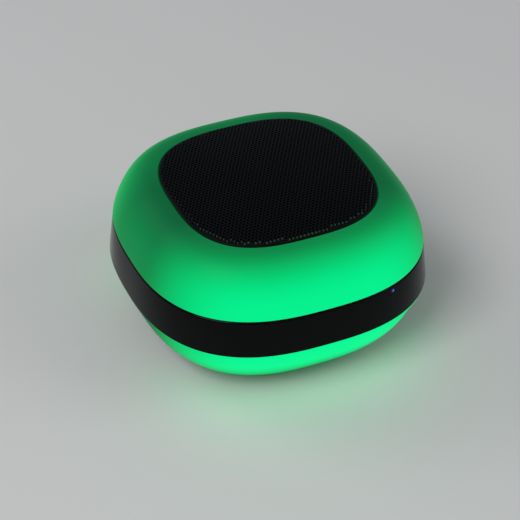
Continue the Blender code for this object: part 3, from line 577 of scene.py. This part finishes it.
def plain_detail(name, colour, roughness, grain=800.0, metallic=0.0):
    """Moulded or painted surface with slight mottling."""
    finish = Finish(name, colour, roughness, metallic)
    finish.tint(finish.noise(grain / 4), 0.88, 1.1)
    finish.bump(finish.noise(grain), 0.01 * MM, 0.4)
    return finish.material


def circuit_board():
    """Green board whose solder mask shows lighter tracks."""
    finish = Finish("circuit_board", (0.012, 0.13, 0.045), 0.35)
    tracks = finish.cells(500.0)
    lighter = (0.02, 0.24, 0.08, 1.0)
    finish.set("Base Color", finish.mix(finish.spread(tracks, 0, 1, 0.5, 0.56), finish.colour, lighter))
    finish.bump(tracks, 0.02 * MM, 0.3)
    return finish.material


def painted_blue_glint(middle):
    """End of the status light's pipe, with a painted blue glint that stands for a reflection on the belt's
    edge, brightest around its middle.
    """
    finish = Finish("painted_blue_glint", (0.01, 0.02, 0.06), 0.25, Specular_IOR_Level=0.2)
    finish.tint(finish.noise(900.0), 0.9, 1.1)
    apart = finish.node("ShaderNodeVectorMath", [(0, finish.place), (1, middle)], operation="DISTANCE")
    core = finish.spread(apart.outputs["Value"], 1.0, 0.0, 0.1 * MM, STATUS_RADIUS, smooth=True)
    finish.set("Emission Color", finish.mix(core, (0.02, 0.10, 1.0, 1.0), (0.38, 0.42, 1.0, 1.0)))
    finish.set("Emission Strength", finish.spread(core, 0.10, 0.36))
    return finish.material


def pale_floor():
    """Plain pale studio floor."""
    finish = Finish("pale_floor", (0.87, 0.87, 0.86), 0.6)
    finish.tint(finish.noise(4.0), 0.985, 1.0)
    return finish.material


UPPER_GLOW = upper_glow()
LOWER_GLOW = lower_glow()
INNER_GLOW = shaded_glow("inner_glow", (0.010, 0.060, 0.026), (0.0, 1.0, 0.30), 0.035)
EDGE_GLOW = shaded_glow("edge_glow", (0.003, 0.006, 0.004), (0.45, 1.0, 0.60), 0.05)
GLOSS_BLACK = gloss_black()
MATTE_BLACK = textured_black("matte_black", (0.012, 0.012, 0.013), 0.55, 2500.0, 0.02 * MM)
RUBBER = textured_black("rubber", (0.010, 0.010, 0.010), 0.8, 1800.0, 0.03 * MM)
FOAM = textured_black("foam", (0.030, 0.030, 0.030), 0.9, 1200.0, 0.2 * MM)
PAINTED_GRILLE = painted_grille()
GRILLE_CLOTH = woven("grille_cloth", (0.004, 0.004, 0.005), 0.7 * MM)
DAMPER_CLOTH = woven("damper_cloth", (0.45, 0.24, 0.08), 0.9 * MM)
PAPER = plain_detail("paper", (0.05, 0.05, 0.05), 0.9)
WHITE_PLASTIC = plain_detail("white_plastic", (0.80, 0.80, 0.78), 0.5)
WHITE_BOARD = plain_detail("white_board", (0.78, 0.78, 0.76), 0.45)
LED_WHITE = plain_detail("led_white", (0.85, 0.84, 0.72), 0.35)
FERRITE = plain_detail("ferrite", (0.045, 0.045, 0.05), 0.7)
CELL_FOIL = plain_detail("cell_foil", (0.60, 0.61, 0.63), 0.35, 400.0, 0.8)
RED_WIRE = plain_detail("red_wire", (0.50, 0.015, 0.015), 0.45)
PRINT_GREY = plain_detail("print_grey", (0.28, 0.29, 0.29), 0.6)
STEEL = metal("steel", (0.55, 0.55, 0.56), 0.32, (1, 1, 6))
BRIGHT_STEEL = metal("bright_steel", (0.66, 0.66, 0.67), 0.26, (1, 6, 1))
GOLD = metal("gold", (0.90, 0.62, 0.25), 0.3)
COPPER = metal("copper", (0.80, 0.36, 0.16), 0.35, (1, 1, 12))
BLACK_STEEL = plain_detail("black_steel", (0.02, 0.02, 0.021), 0.45)
BOARD = circuit_board()


# Shells, belt and base.


def shell_exponent(height):
    """The upper sections get squarer from the belt up to the grille."""
    share = (height - SHELL_BOTTOM) / (SHELL_TOP - SHELL_BOTTOM)
    share = min(max(share, 0.0), 1.0)
    return BODY_EXPONENT + (GRILLE_EXPONENT - BODY_EXPONENT) * share**2


def make_upper_shell():
    """Frosted shell from the grille's edge down to the belt, with a ledge under the grille."""
    count = 56
    outer = []
    for i in range(count + 1):
        turn = QUARTER * i / count
        radius = SHELL_OPENING + (HALF_WIDTH - SHELL_OPENING) * math.sin(turn) ** SHELL_SIDE_POWER
        drop = max(math.cos(turn), 0.0) ** SHELL_TOP_POWER
        outer.append((radius, SHELL_BOTTOM + (SHELL_TOP - SHELL_BOTTOM) * drop))
    # Every other point does inside, between the ledge and the spigot.
    inner = inset(outer, SHELL_WALL)[3:-3:2]
    outside = [(*outer[0], 0.25 * MM), *outer[2:-1], (*outer[-1], SOFT_EDGE)]
    ledge = SHELL_TOP - LEDGE_DROP
    inside = [
        (SPIGOT_OUTER, SHELL_BOTTOM),
        (SPIGOT_OUTER, SHELL_BOTTOM - SPIGOT_DEPTH, SOFT_EDGE),
        (SPIGOT_INNER, SHELL_BOTTOM - SPIGOT_DEPTH, SOFT_EDGE),
        (SPIGOT_INNER, SHELL_BOTTOM + SPIGOT_DEPTH),
        *reversed(inner),
        (SHELL_OPENING - LEDGE_WIDTH, ledge - LEDGE_SHEET),
        (SHELL_OPENING - LEDGE_WIDTH, ledge, 0.2 * MM),
        (SHELL_OPENING, ledge),
    ]
    shell = turned(
        "upper_shell",
        rounded([*outside, *inside]),
        UPPER_GLOW,
        INNER_GLOW,
        power_at=shell_exponent,
        second_from=ring_count(outside),
    )
    ride(shell, "housing", "glow_shell", "upper_diffuser")


def make_lower_bowl():
    """Frosted bowl under the belt, with its thin lip."""
    bottom = Vector((LENS_BOTTOM_WIDTH, LENS_BOTTOM))
    top = Vector((LENS_TOP_WIDTH, LENS_TOP - LENS_LIP))
    low_handle = bottom + Vector((LENS_BOTTOM_PULL, 0.0))
    high_handle = top - Vector((math.sin(LENS_TOP_LEAN), math.cos(LENS_TOP_LEAN))) * LENS_TOP_PULL
    outer = interpolate_bezier(top, high_handle, low_handle, bottom, 48)
    # Every other point does inside, below the spigot.
    inner = inset(outer, SHELL_WALL)[6::2]
    lip_edge = 0.2 * MM
    outside = [
        (LENS_LIP_WIDTH, LENS_TOP, lip_edge),
        (LENS_LIP_WIDTH, LENS_TOP - LENS_LIP, lip_edge),
        *outer,
    ]
    inside = [
        *reversed(inner),
        (SPIGOT_INNER, LENS_TOP - SPIGOT_DEPTH),
        (SPIGOT_INNER, LENS_TOP + SPIGOT_DEPTH, SOFT_EDGE),
        (SPIGOT_OUTER, LENS_TOP + SPIGOT_DEPTH, SOFT_EDGE),
        (SPIGOT_OUTER, LENS_TOP),
    ]
    bowl = turned(
        "lower_bowl",
        rounded([*outside, *inside]),
        LOWER_GLOW,
        INNER_GLOW,
        second_from=ring_count(outside),
    )
    ride(bowl, "housing", "glow_shell", "lower_lens")


def node_middle(name):
    """Middle of a CAD node's box."""
    low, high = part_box(name)
    return (low + high) / 2


def window_cutter(name, side, centre, size):
    """A cutter for a window in the belt, with a small chamfer at the face."""
    chamfer = 0.25 * MM
    depth = 5.0 * MM
    beyond = 1.5 * MM
    steps = [(-depth, 0.0), (-chamfer, 0.0), (0.0, chamfer), (beyond, chamfer)]
    return skin(name, side_rings(side, centre, size, steps))


def status_frame():
    """Where the status light meets the belt, and the turn that points a piece's axis out of it."""
    height = node_middle("status_light_pipe").z
    place = Vector((STATUS_X, -side_distance(STATUS_X, height), height))
    slope = Vector((abs(place.x) ** (BODY_EXPONENT - 1), -(abs(place.y) ** (BODY_EXPONENT - 1)), 0.0))
    return place, slope.normalized().to_track_quat("Z", "Y").to_matrix().to_4x4()


def make_belt():
    """Gloss band with windows for the controls, the sockets and the status light."""
    profile = rounded(
        [
            (HALF_WIDTH, BELT_HIGH.z, 1.2 * MM),
            (RIM_HALF_WIDTH, BELT_LOW.z, 0.4 * MM),
            (BELT_INNER, BELT_LOW.z),
            (BELT_INNER, BELT_HIGH.z),
        ],
        steps=8,
    )
    belt = turned("belt", profile, GLOSS_BLACK)
    cutters = []
    for name in BUTTONS:
        middle = node_middle(f"button_{name}")
        size = [side + 2 * GAP for side in BUTTON_SIZE]
        cutters.append(window_cutter(f"cut_{name}", on_right, (middle.y, middle.z), size))
    usb = node_middle("usb_socket")
    back_windows = (
        ("cut_usb", (usb.x, usb.z), USB_WINDOW),
        ("cut_aux", AUX_PLACE, AUX_WINDOW),
        ("cut_switch", (0.0, SWITCH_HEIGHT), SWITCH_WINDOW),
    )
    for name, centre, size in back_windows:
        cutters.append(window_cutter(name, on_back, centre, size))
    place, turn = status_frame()
    hole = STATUS_RADIUS + 0.1 * MM
    beyond = 2.0 * MM
    depth = 6.0 * MM
    drill = [(0.0, beyond), (hole, beyond), (hole, -depth), (0.0, -depth)]
    cutters.append(round_turned("cut_status", drill, place=place, turn=turn, joined=False))
    ride(subtract(belt, cutters), "housing", "gloss_black", "belt_band")


def make_status_light():
    """End of the status light's pipe: a low dome in the belt's front, on a slimmer stem, whose blue glow is
    a painted glint.
    """
    place, turn = status_frame()
    stem = 0.65 * MM
    dome = [
        (0.0, 0.16 * MM),
        (0.45 * MM, 0.12 * MM),
        (0.75 * MM, 0.0),
        (STATUS_RADIUS, -0.2 * MM),
        (STATUS_RADIUS, -0.7 * MM),
        (stem, -0.9 * MM),
        (stem, -3.9 * MM),
        (0.0, -3.9 * MM),
    ]
    # The pipe's blue glow is a painted glint: a reflection on the belt's rounded edge, shown as light from
    # the pipe.
    painted_glint = painted_blue_glint(place)
    light = round_turned("status_light", dome, painted_glint, place=place, turn=turn, joined=False, around=32)
    ride(light, "housing", "blue_light", "status_light_pipe")


def make_base():
    """Base plate with a flange at its rim, and screws in recesses."""
    low = PLATE_LOW.z
    rim = PLATE_HIGH.z
    half_width = PLATE_HIGH.x - 2.0 * MM
    inside = half_width - 1.6 * MM
    floor_top = low + 2.0 * MM
    flange = 1.0 * MM
    profile = rounded(
        [
            (0.0, floor_top),
            (inside, floor_top, SOFT_EDGE),
            (inside, rim, SOFT_EDGE),
            (PLATE_HIGH.x, rim, SOFT_EDGE),
            (PLATE_HIGH.x, rim - flange, SOFT_EDGE),
            (half_width, rim - flange),
            (half_width, low, 0.5 * MM),
            (0.0, low),
        ],
        joined=False,
    )
    plate = turned("base", profile, MATTE_BLACK, joined=False)
    screws = [f"base_screw_{i}" for i in range(1, 5)]
    hole = 1.1 * MM
    head = 1.9 * MM
    seat = low + 1.2 * MM
    recess = [
        (0.0, 6.0 * MM),
        (hole, 6.0 * MM),
        (hole, seat),
        (head, seat),
        (head, low + 0.3 * MM),
        (head + 0.4 * MM, low - 0.1 * MM),
        (0.0, low - 0.1 * MM),
    ]
    cutters = []
    for name in screws:
        middle = node_middle(name)
        cutters.append(round_turned(f"cut_{name}", recess, place=(middle.x, middle.y, 0.0), joined=False))
    ride(subtract(plate, cutters), "housing", "matte_black", "base_plate")
    for name in screws:
        make_screw(name, low + 0.15 * MM)


def make_screw(node, face):
    """A pan-head screw seen from below, with a cross recess and a threaded shank."""
    middle = node_middle(node)
    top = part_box(node)[1].z
    shank = 0.8 * MM
    head = 1.6 * MM
    neck = face + 0.75 * MM
    pitch = 0.5 * MM
    thread = []
    height = face + 1.4 * MM
    while height < top - 1.2 * MM:
        thread.extend([(shank, height), (shank * 0.8, height + pitch / 2)])
        height += pitch
    profile = [
        (0.0, top),
        (shank * 0.5, top - 0.8 * MM),
        *reversed(thread),
        (shank, neck),
        (head, neck),
        (head, face + 0.4 * MM),
        (1.4 * MM, face + 0.12 * MM),
        (1.0 * MM, face),
        (0.0, face),
    ]
    place = (middle.x, middle.y, 0.0)
    body = round_turned(f"{node}_fine", profile, STEEL, place=place, joined=False, around=32)
    long = 0.9 * MM
    wide = 0.22 * MM
    deep = Vector((0.0, 0.0, 0.45 * MM))
    below = Vector((0.0, 0.0, 0.5 * MM))
    corner = Vector((*place[:2], face))
    cutters = []
    for i, reach in enumerate((Vector((long, wide, 0.0)), Vector((wide, long, 0.0)))):
        built = bmesh.new()
        slab(built, corner - reach - below, corner + reach + deep)
        cutters.append(finish_mesh(f"cut_cross_{i}", built))
    ride(subtract(body, cutters), "housing", "steel", node)


def make_foot():
    """Rubber foot ring with three grip ribs underneath."""
    outer = FOOT_HIGH.x
    inner = outer - 4.0 * MM
    pitch = 1.2 * MM
    rib = 0.35 * MM
    rib_edge = 0.1 * MM
    groove = 0.25 * MM
    side_foot = 0.3 * MM
    side_edge = 0.15 * MM
    ribs = []
    for i in range(3):
        middle = outer - 0.8 * MM - pitch * i
        ribs.extend([(middle + rib, 0.0, rib_edge), (middle - rib, 0.0, rib_edge)])
        if i < 2:
            ribs.extend([(middle - 0.5 * MM, groove), (middle - 0.7 * MM, groove)])
    corners = [
        (outer, FOOT_HIGH.z),
        (outer, side_foot, side_edge),
        *ribs,
        (inner, side_foot, side_edge),
        (inner, FOOT_HIGH.z),
    ]
    ride(turned("foot", rounded(corners, steps=2), RUBBER), "housing", "black_rubber", "foot_ring")


# Grille and cloth.


def grille_level(x, y):
    """Half-width of the grille's outline, shrunk to pass through a place."""
    return (abs(x) ** GRILLE_EXPONENT + abs(y) ** GRILLE_EXPONENT) ** (1 / GRILLE_EXPONENT)


def dome_rise(level):
    """Height of the grille's dome above its edge, on the outline of that half-width."""
    return GRILLE_RISE * (1 - (level / SHELL_OPENING) ** 2)


def hole_centres(half_width):
    """Places of the grille's holes, on a triangular lattice inside an outline."""
    row_pitch = HOLE_PITCH * math.sqrt(3) / 2
    centres = []
    rows = math.ceil(half_width / row_pitch)
    columns = math.ceil(half_width / HOLE_PITCH)
    for row in range(-rows, rows + 1):
        shift = HOLE_PITCH / 2 if row % 2 else 0.0
        for column in range(-columns, columns + 1):
            x = column * HOLE_PITCH + shift
            y = row * row_pitch
            if grille_level(x, y) < half_width:
                centres.append(Vector((x, y)))
    return centres


def grille_plan(centres, rim_half_width):
    """The flat plan of the grille: its points, its holes' loops, its rim's loop and its triangles.

    Loops and triangles are made of the points' numbers. The triangles that fill a hole are left out.
    """
    points = []
    holes = []
    for centre in centres:
        start = len(points)
        points.extend(centre + point for point in disc(HOLE_RADIUS, HOLE_POINTS))
        holes.append(list(range(start, start + HOLE_POINTS)))
    rim = list(range(len(points), len(points) + AROUND))
    for i in range(AROUND):
        angle = math.tau * i / AROUND
        reach = superellipse(angle, rim_half_width, GRILLE_EXPONENT)
        points.append(Vector((reach * math.cos(angle), reach * math.sin(angle))))
    edges = [(loop[i - 1], loop[i]) for loop in (*holes, rim) for i in range(len(loop))]
    owner = {index: number for number, loop in enumerate(holes) for index in loop}
    triangles = []
    for triangle in delaunay_2d_cdt(points, edges, [], 0, 1e-9)[2]:
        owners = {owner.get(index) for index in triangle}
        if len(owners) > 1 or None in owners:
            triangles.append(triangle)
    return points, holes, rim, triangles


def make_grille():
    """Domed steel sheet with round holes right through it and a rolled edge.

    Light from the shell's ledge reaches the walls of the outermost holes that face it.
    """
    half_width = GRILLE_HIGH.x
    centres = hole_centres(half_width - GRILLE_MARGIN)
    points, holes, rim, triangles = grille_plan(centres, half_width - GRILLE_EDGE)
    edge_top = GRILLE_LOW.z + GRILLE_SHEET
    heights = [edge_top + dome_rise(grille_level(*point)) for point in points]
    built = bmesh.new()
    top = [built.verts.new((*point, height)) for point, height in zip(points, heights)]
    under = [built.verts.new((*point, height - GRILLE_SHEET)) for point, height in zip(points, heights)]
    for triangle in triangles:
        built.faces.new([top[index] for index in triangle])
        built.faces.new([under[index] for index in reversed(triangle)])
    for centre, loop in zip(centres, holes):
        outermost = grille_level(*centre) > half_width - LIT_MARGIN
        for i in range(HOLE_POINTS):
            wall = built.faces.new((top[loop[i - 1]], top[loop[i]], under[loop[i]], under[loop[i - 1]]))
            toward_axis = (centre - points[loop[i]]).dot(centre.normalized())
            wall.material_index = int(outermost and toward_axis > 0.8 * HOLE_RADIUS)
    steps = 6
    rings = [[top[index] for index in rim]]
    for i in range(1, steps):
        turn = math.pi * i / steps
        out = GRILLE_EDGE * math.sin(turn)
        down = GRILLE_SHEET * (1 - math.cos(turn)) / 2
        ring = []
        for index in rim:
            wide = points[index] * (1 + out / points[index].length)
            ring.append(built.verts.new((*wide, top[index].co.z - down)))
        rings.append(ring)
    rings.append([under[index] for index in rim])
    for one, other in zip(rings, rings[1:]):
        for i in range(AROUND):
            built.faces.new((one[i - 1], one[i], other[i], other[i - 1]))
    grille = finish_mesh("grille_sheet", built, PAINTED_GRILLE, EDGE_GLOW)
    ride(grille, "housing", "grille_black", "grille")


def grille_exponent(height):
    """The grille and its cloth have the same outline at every height."""
    return GRILLE_EXPONENT


def make_cloth():
    """Acoustic cloth behind the grille, with the same dome."""
    sheet = 0.5 * MM
    steps = 24
    radii = [CLOTH_HIGH.x * i / steps for i in range(steps + 1)]
    edge_low = CLOTH_LOW.z - dome_rise(CLOTH_HIGH.x)
    under = [(radius, edge_low + dome_rise(radius)) for radius in radii]
    upper = [(radius, height + sheet) for radius, height in under]
    profile = [*upper, *reversed(under)]
    cloth = turned("cloth", profile, GRILLE_CLOTH, power_at=grille_exponent, around=144, joined=False)
    ride(cloth, "housing", "black_cloth", "grille_cloth")


# Controls and sockets.


def bar(length, width, turn=0.0, centre=(0.0, 0.0)):
    """Corners of a bar in a drawing."""
    along = Vector((math.cos(turn), math.sin(turn))) * length / 2
    across = Vector((-math.sin(turn), math.cos(turn))) * width / 2
    signs = ((-1, -1), (1, -1), (1, 1), (-1, 1))
    return [Vector(centre) + along * ahead + across * aside for ahead, aside in signs]


def button_signs():
    """Generic signs of the four buttons: a lamp's rays, minus, a play arrow and plus."""
    rays = []
    for i in range(8):
        angle = math.tau * i / 8
        centre = Vector((math.cos(angle), math.sin(angle))) * 1.15 * MM
        rays.append(bar(0.5 * MM, 0.22 * MM, angle, centre))
    arrow = [Vector((-0.65, -0.85)) * MM, Vector((0.95, 0.0)) * MM, Vector((-0.65, 0.85)) * MM]
    length = 1.9 * MM
    stroke = 0.35 * MM
    minus = bar(length, stroke)
    upright = (length - stroke) / 2
    apart = (upright + stroke) / 2
    return {
        "light": [disc(0.55 * MM), *rays],
        "volume_down": [minus],
        "play": [arrow],
        "volume_up": [
            minus,
            bar(upright, stroke, QUARTER, (0.0, apart)),
            bar(upright, stroke, QUARTER, (0.0, -apart)),
        ],
    }


def make_sign(name, shapes, centre):
    """A button's sign, printed on the bottom of its dish."""
    across, height = centre
    face = BUTTON_PROUD - BUTTON_DISH
    built = bmesh.new()
    for shape in shapes:
        layers = []
        for out in (face - 0.05 * MM, face + 0.03 * MM):
            places = [on_right(across + point.x, height + point.y, out) for point in shape]
            layers.append([built.verts.new(place) for place in places])
        built.faces.new(layers[0])
        built.faces.new(layers[1])
        for i in range(len(shape)):
            built.faces.new((layers[0][i - 1], layers[0][i], layers[1][i], layers[1][i - 1]))
    return finish_mesh(f"{name}_sign", built, PRINT_GREY)


def make_buttons():
    """Four dished gloss buttons with a flange behind the belt, each with a sign printed on it."""
    depth = 5.0 * MM
    skirt = 3.8 * MM
    flange = 0.9 * MM
    edge_steps = 6
    dish_steps = 5
    dish_reach = 1.7 * MM
    steps = [(-depth, flange), (-skirt, flange), (-skirt, 0.0)]
    for i in range(edge_steps + 1):
        angle = QUARTER * i / edge_steps
        out = BUTTON_PROUD - BUTTON_EDGE * (1 - math.sin(angle))
        steps.append((out, -BUTTON_EDGE * (1 - math.cos(angle))))
    for i in range(1, dish_steps + 1):
        share = i / dish_steps
        out = BUTTON_PROUD - BUTTON_DISH * (1 - math.cos(math.pi * share)) / 2
        steps.append((out, -BUTTON_EDGE - dish_reach * share))
    signs = button_signs()
    for name in BUTTONS:
        body = f"{name}_button"
        middle = node_middle(f"button_{name}")
        centre = (middle.y, middle.z)
        button = skin(f"{name}_cap", side_rings(on_right, centre, BUTTON_SIZE, steps), GLOSS_BLACK)
        ride(button, body, "gloss_black", f"button_{name}")
        ride(make_sign(name, signs[name], centre), body, "gloss_black")


def make_switch():
    """Ribbed knob of the slide switch."""
    low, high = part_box("switch_knob")
    middle = (low.x + high.x) / 2
    pad_front = high.y - 0.3 * MM
    # Stem, pad and ribs: middle, half-width, back, front, half-height and bevel.
    blocks = [
        (middle, 0.7 * MM, low.y, KNOB_PAD_BACK + 0.5 * MM, 0.8 * MM, 0.0),
        (middle, 1.2 * MM, KNOB_PAD_BACK, pad_front, 0.8 * MM, 0.15 * MM),
    ]
    for i in range(4):
        x = middle + (i - 1.5) * 0.6 * MM
        blocks.append((x, 0.15 * MM, pad_front - 0.2 * MM, high.y, 0.7 * MM, 0.06 * MM))
    built = bmesh.new()
    for x, wide, back, front, tall, bevel in blocks:
        slab(built, (x - wide, back, SWITCH_HEIGHT - tall), (x + wide, front, SWITCH_HEIGHT + tall), bevel)
    ride(finish_mesh("power_slide_knob", built, MATTE_BLACK), "power_knob", "matte_black", "switch_knob")


def make_usb():
    """Oval charging socket with a rolled mouth, a tongue and its contacts."""
    low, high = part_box("usb_socket")
    middle = (low + high) / 2
    wall = 0.3 * MM
    back = low.y - high.y
    floor = -6.2 * MM
    steps = [
        (back, -0.4 * MM),
        (back + 0.2 * MM, -0.1 * MM),
        (back + 0.4 * MM, 0.0),
        (-0.15 * MM, 0.0),
        (-0.04 * MM, -0.04 * MM),
        (0.0, -0.15 * MM),
        (-0.04 * MM, -0.26 * MM),
        (-0.15 * MM, -wall),
        (floor, -wall),
    ]
    centre = (middle.x, middle.z)
    shell = skin("usb_shell", straight_rings(high.y, centre, USB_SIZE, steps), BRIGHT_STEEL)
    ride(shell, "housing", "steel", "usb_socket")
    half_wide = 3.3 * MM
    half_thick = 0.35 * MM
    front = high.y - 1.3 * MM
    tongue = bmesh.new()
    slab(
        tongue,
        (middle.x - half_wide, high.y + floor - 0.2 * MM, middle.z - half_thick),
        (middle.x + half_wide, front, middle.z + half_thick),
        0.12 * MM,
    )
    ride(finish_mesh("usb_tongue", tongue, MATTE_BLACK), "housing", "matte_black")
    count = 12
    pitch = 0.5 * MM
    contact = Vector((0.13, 0.0, 0.03)) * MM
    contacts = bmesh.new()
    for i in range(count):
        x = middle.x + (i - (count - 1) / 2) * pitch
        for side in (-1, 1):
            z = middle.z + side * half_thick
            slab(
                contacts,
                (x - contact.x, high.y + floor + 0.4 * MM, z - contact.z),
                (x + contact.x, front - 0.5 * MM, z + contact.z),
            )
    ride(finish_mesh("usb_contacts", contacts, GOLD), "housing", "copper")


def aux_tube(outer, inner, mouth, depth, rounding, steps):
    """Profile of a round tube in the jack, its mouth that far in from the front and rounded."""
    corners = [(outer, -mouth, rounding), (outer, -depth), (inner, -depth), (inner, -mouth, rounding)]
    return rounded(corners, steps=steps)


def make_aux():
    """3.5 mm audio jack: body block, round nose, and the sleeve and spring contact in its bore."""
    low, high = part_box("aux_jack")
    x, z = AUX_PLACE
    place = (x, high.y, z)
    turn = Matrix.Rotation(-QUARTER, 4, "X")
    block = bmesh.new()
    slab(block, low, (high.x, AUX_BODY_FRONT, high.z), 0.2 * MM)
    bore = 1.85 * MM
    bore_depth = 10.0 * MM
    hollow = [(0.0, 0.0), (bore, 0.0), (bore, -bore_depth), (0.0, -bore_depth)]
    cutter = round_turned("cut_bore", hollow, place=place, turn=turn, joined=False, around=32)
    body = subtract(finish_mesh("aux_body", block, MATTE_BLACK), [cutter])
    ride(body, "housing", "matte_black", "aux_jack")
    nose_depth = high.y - AUX_BODY_FRONT
    nose = aux_tube(2.9 * MM, 2.05 * MM, 0.0, nose_depth, SOFT_EDGE, CORNER_STEPS)
    ride(round_turned("aux_nose", nose, MATTE_BLACK, place=place, turn=turn), "housing", "matte_black")
    sleeve = aux_tube(2.0 * MM, 1.75 * MM, 0.35 * MM, nose_depth, 0.08 * MM, 3)
    ride(round_turned("aux_sleeve", sleeve, BRIGHT_STEEL, place=place, turn=turn), "housing", "steel")
    contact = bmesh.new()
    slab(
        contact,
        (x - 0.4 * MM, high.y - 8.0 * MM, z + 1.25 * MM),
        (x + 0.4 * MM, high.y - 5.0 * MM, z + 1.75 * MM),
        0.15 * MM,
    )
    ride(finish_mesh("aux_contact", contact, GOLD), "housing", "copper")


# CAD nodes that stay as they are and get a finish.


def dress_nodes():
    """Gives every CAD node that is still shown its procedural material."""
    finishes = {
        WHITE_PLASTIC: ["acoustic_chamber"],
        WHITE_BOARD: ["led_ring_upper", "led_ring_lower"],
        LED_WHITE: [f"led_{row}_{i}" for row in ("upper", "lower") for i in range(1, 5)],
        BOARD: ["main_board", "button_board", "driver_terminal"],
        BRIGHT_STEEL: ["bluetooth_module", "switch_body"],
        MATTE_BLACK: ["amplifier_chip", "baffle_plate", *(f"tact_switch_{i}" for i in range(1, 5))],
        BLACK_STEEL: ["driver_frame"],
        STEEL: ["driver_yoke", "driver_top_plate", *(f"driver_screw_{i}" for i in range(1, 5))],
        FERRITE: ["driver_magnet"],
        COPPER: ["driver_voice_coil"],
        PAPER: ["driver_cone", "driver_dust_cap"],
        RUBBER: ["driver_surround", "speaker_lead_negative"],
        DAMPER_CLOTH: ["driver_spider"],
        FOAM: ["driver_gasket", "battery_pad"],
        CELL_FOIL: ["battery_cell"],
        RED_WIRE: ["battery_lead", "speaker_lead_positive"],
    }
    for material, names in finishes.items():
        for name in names:
            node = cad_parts[name]
            if not node.material_slots:
                node.data.materials.append(material)
            for slot in node.material_slots:
                slot.material = material


# Studio.


def make_floor():
    """A wide pale floor, just under the foot."""
    built = bmesh.new()
    bmesh.ops.create_grid(built, x_segments=8, y_segments=8, size=3.0)
    floor = finish_mesh("floor", built, pale_floor())
    floor.location.z = -0.02 * MM


def softbox(name, place, size, power):
    """A square area light that looks at the speaker."""
    data = bpy.data.lights.new(name, "AREA")
    data.shape = "SQUARE"
    data.size = size
    data.energy = power
    light = bpy.data.objects.new(name, data)
    bpy.context.scene.collection.objects.link(light)
    light.location = place
    aim = Vector((0.0, 0.0, 0.03)) - Vector(place)
    light.rotation_euler = aim.to_track_quat("-Z", "Y").to_euler()


def make_lights():
    """Soft key, fill and rim lights in a pale room."""
    softbox("key", (-0.9, -0.5, 1.1), 0.8, 8.0)
    softbox("fill", (1.1, -0.6, 0.8), 0.9, 3.0)
    softbox("rim", (-0.9, 1.0, 0.9), 0.8, 3.5)
    world = bpy.data.worlds.new("room")
    bpy.context.scene.world = world
    world.use_nodes = True
    background = world.node_tree.nodes["Background"]
    background.inputs["Color"].default_value = (0.92, 0.95, 1.0, 1.0)
    background.inputs["Strength"].default_value = 0.22


def make_camera():
    """Looks down on the speaker from the front left."""
    azimuth = math.radians(-24.21)
    elevation = math.radians(37.80)
    distance = 0.7637
    target = Vector((0.0, 0.0, 27.5 * MM))
    data = bpy.data.cameras.new("camera")
    data.lens = 139.9
    data.sensor_width = 36.0
    camera = bpy.data.objects.new("camera", data)
    bpy.context.scene.collection.objects.link(camera)
    back = Vector(
        (
            math.sin(azimuth) * math.cos(elevation),
            -math.cos(azimuth) * math.cos(elevation),
            math.sin(elevation),
        )
    )
    aim = (-back).to_track_quat("-Z", "Y").to_matrix().to_4x4()
    roll = Matrix.Rotation(math.radians(0.80), 4, "Z")
    pan = Matrix.Rotation(math.radians(0.185), 4, "Y")
    tilt = Matrix.Rotation(math.radians(-0.369), 4, "X")
    camera.matrix_world = Matrix.Translation(target + back * distance) @ aim @ roll @ pan @ tilt
    bpy.context.scene.camera = camera


make_camera()
bpy.context.scene.view_settings.view_transform = "Standard"
make_upper_shell()
make_lower_bowl()
make_belt()
make_status_light()
make_base()
make_foot()
make_grille()
make_cloth()
make_buttons()
make_switch()
make_usb()
make_aux()
dress_nodes()
make_floor()
make_lights()
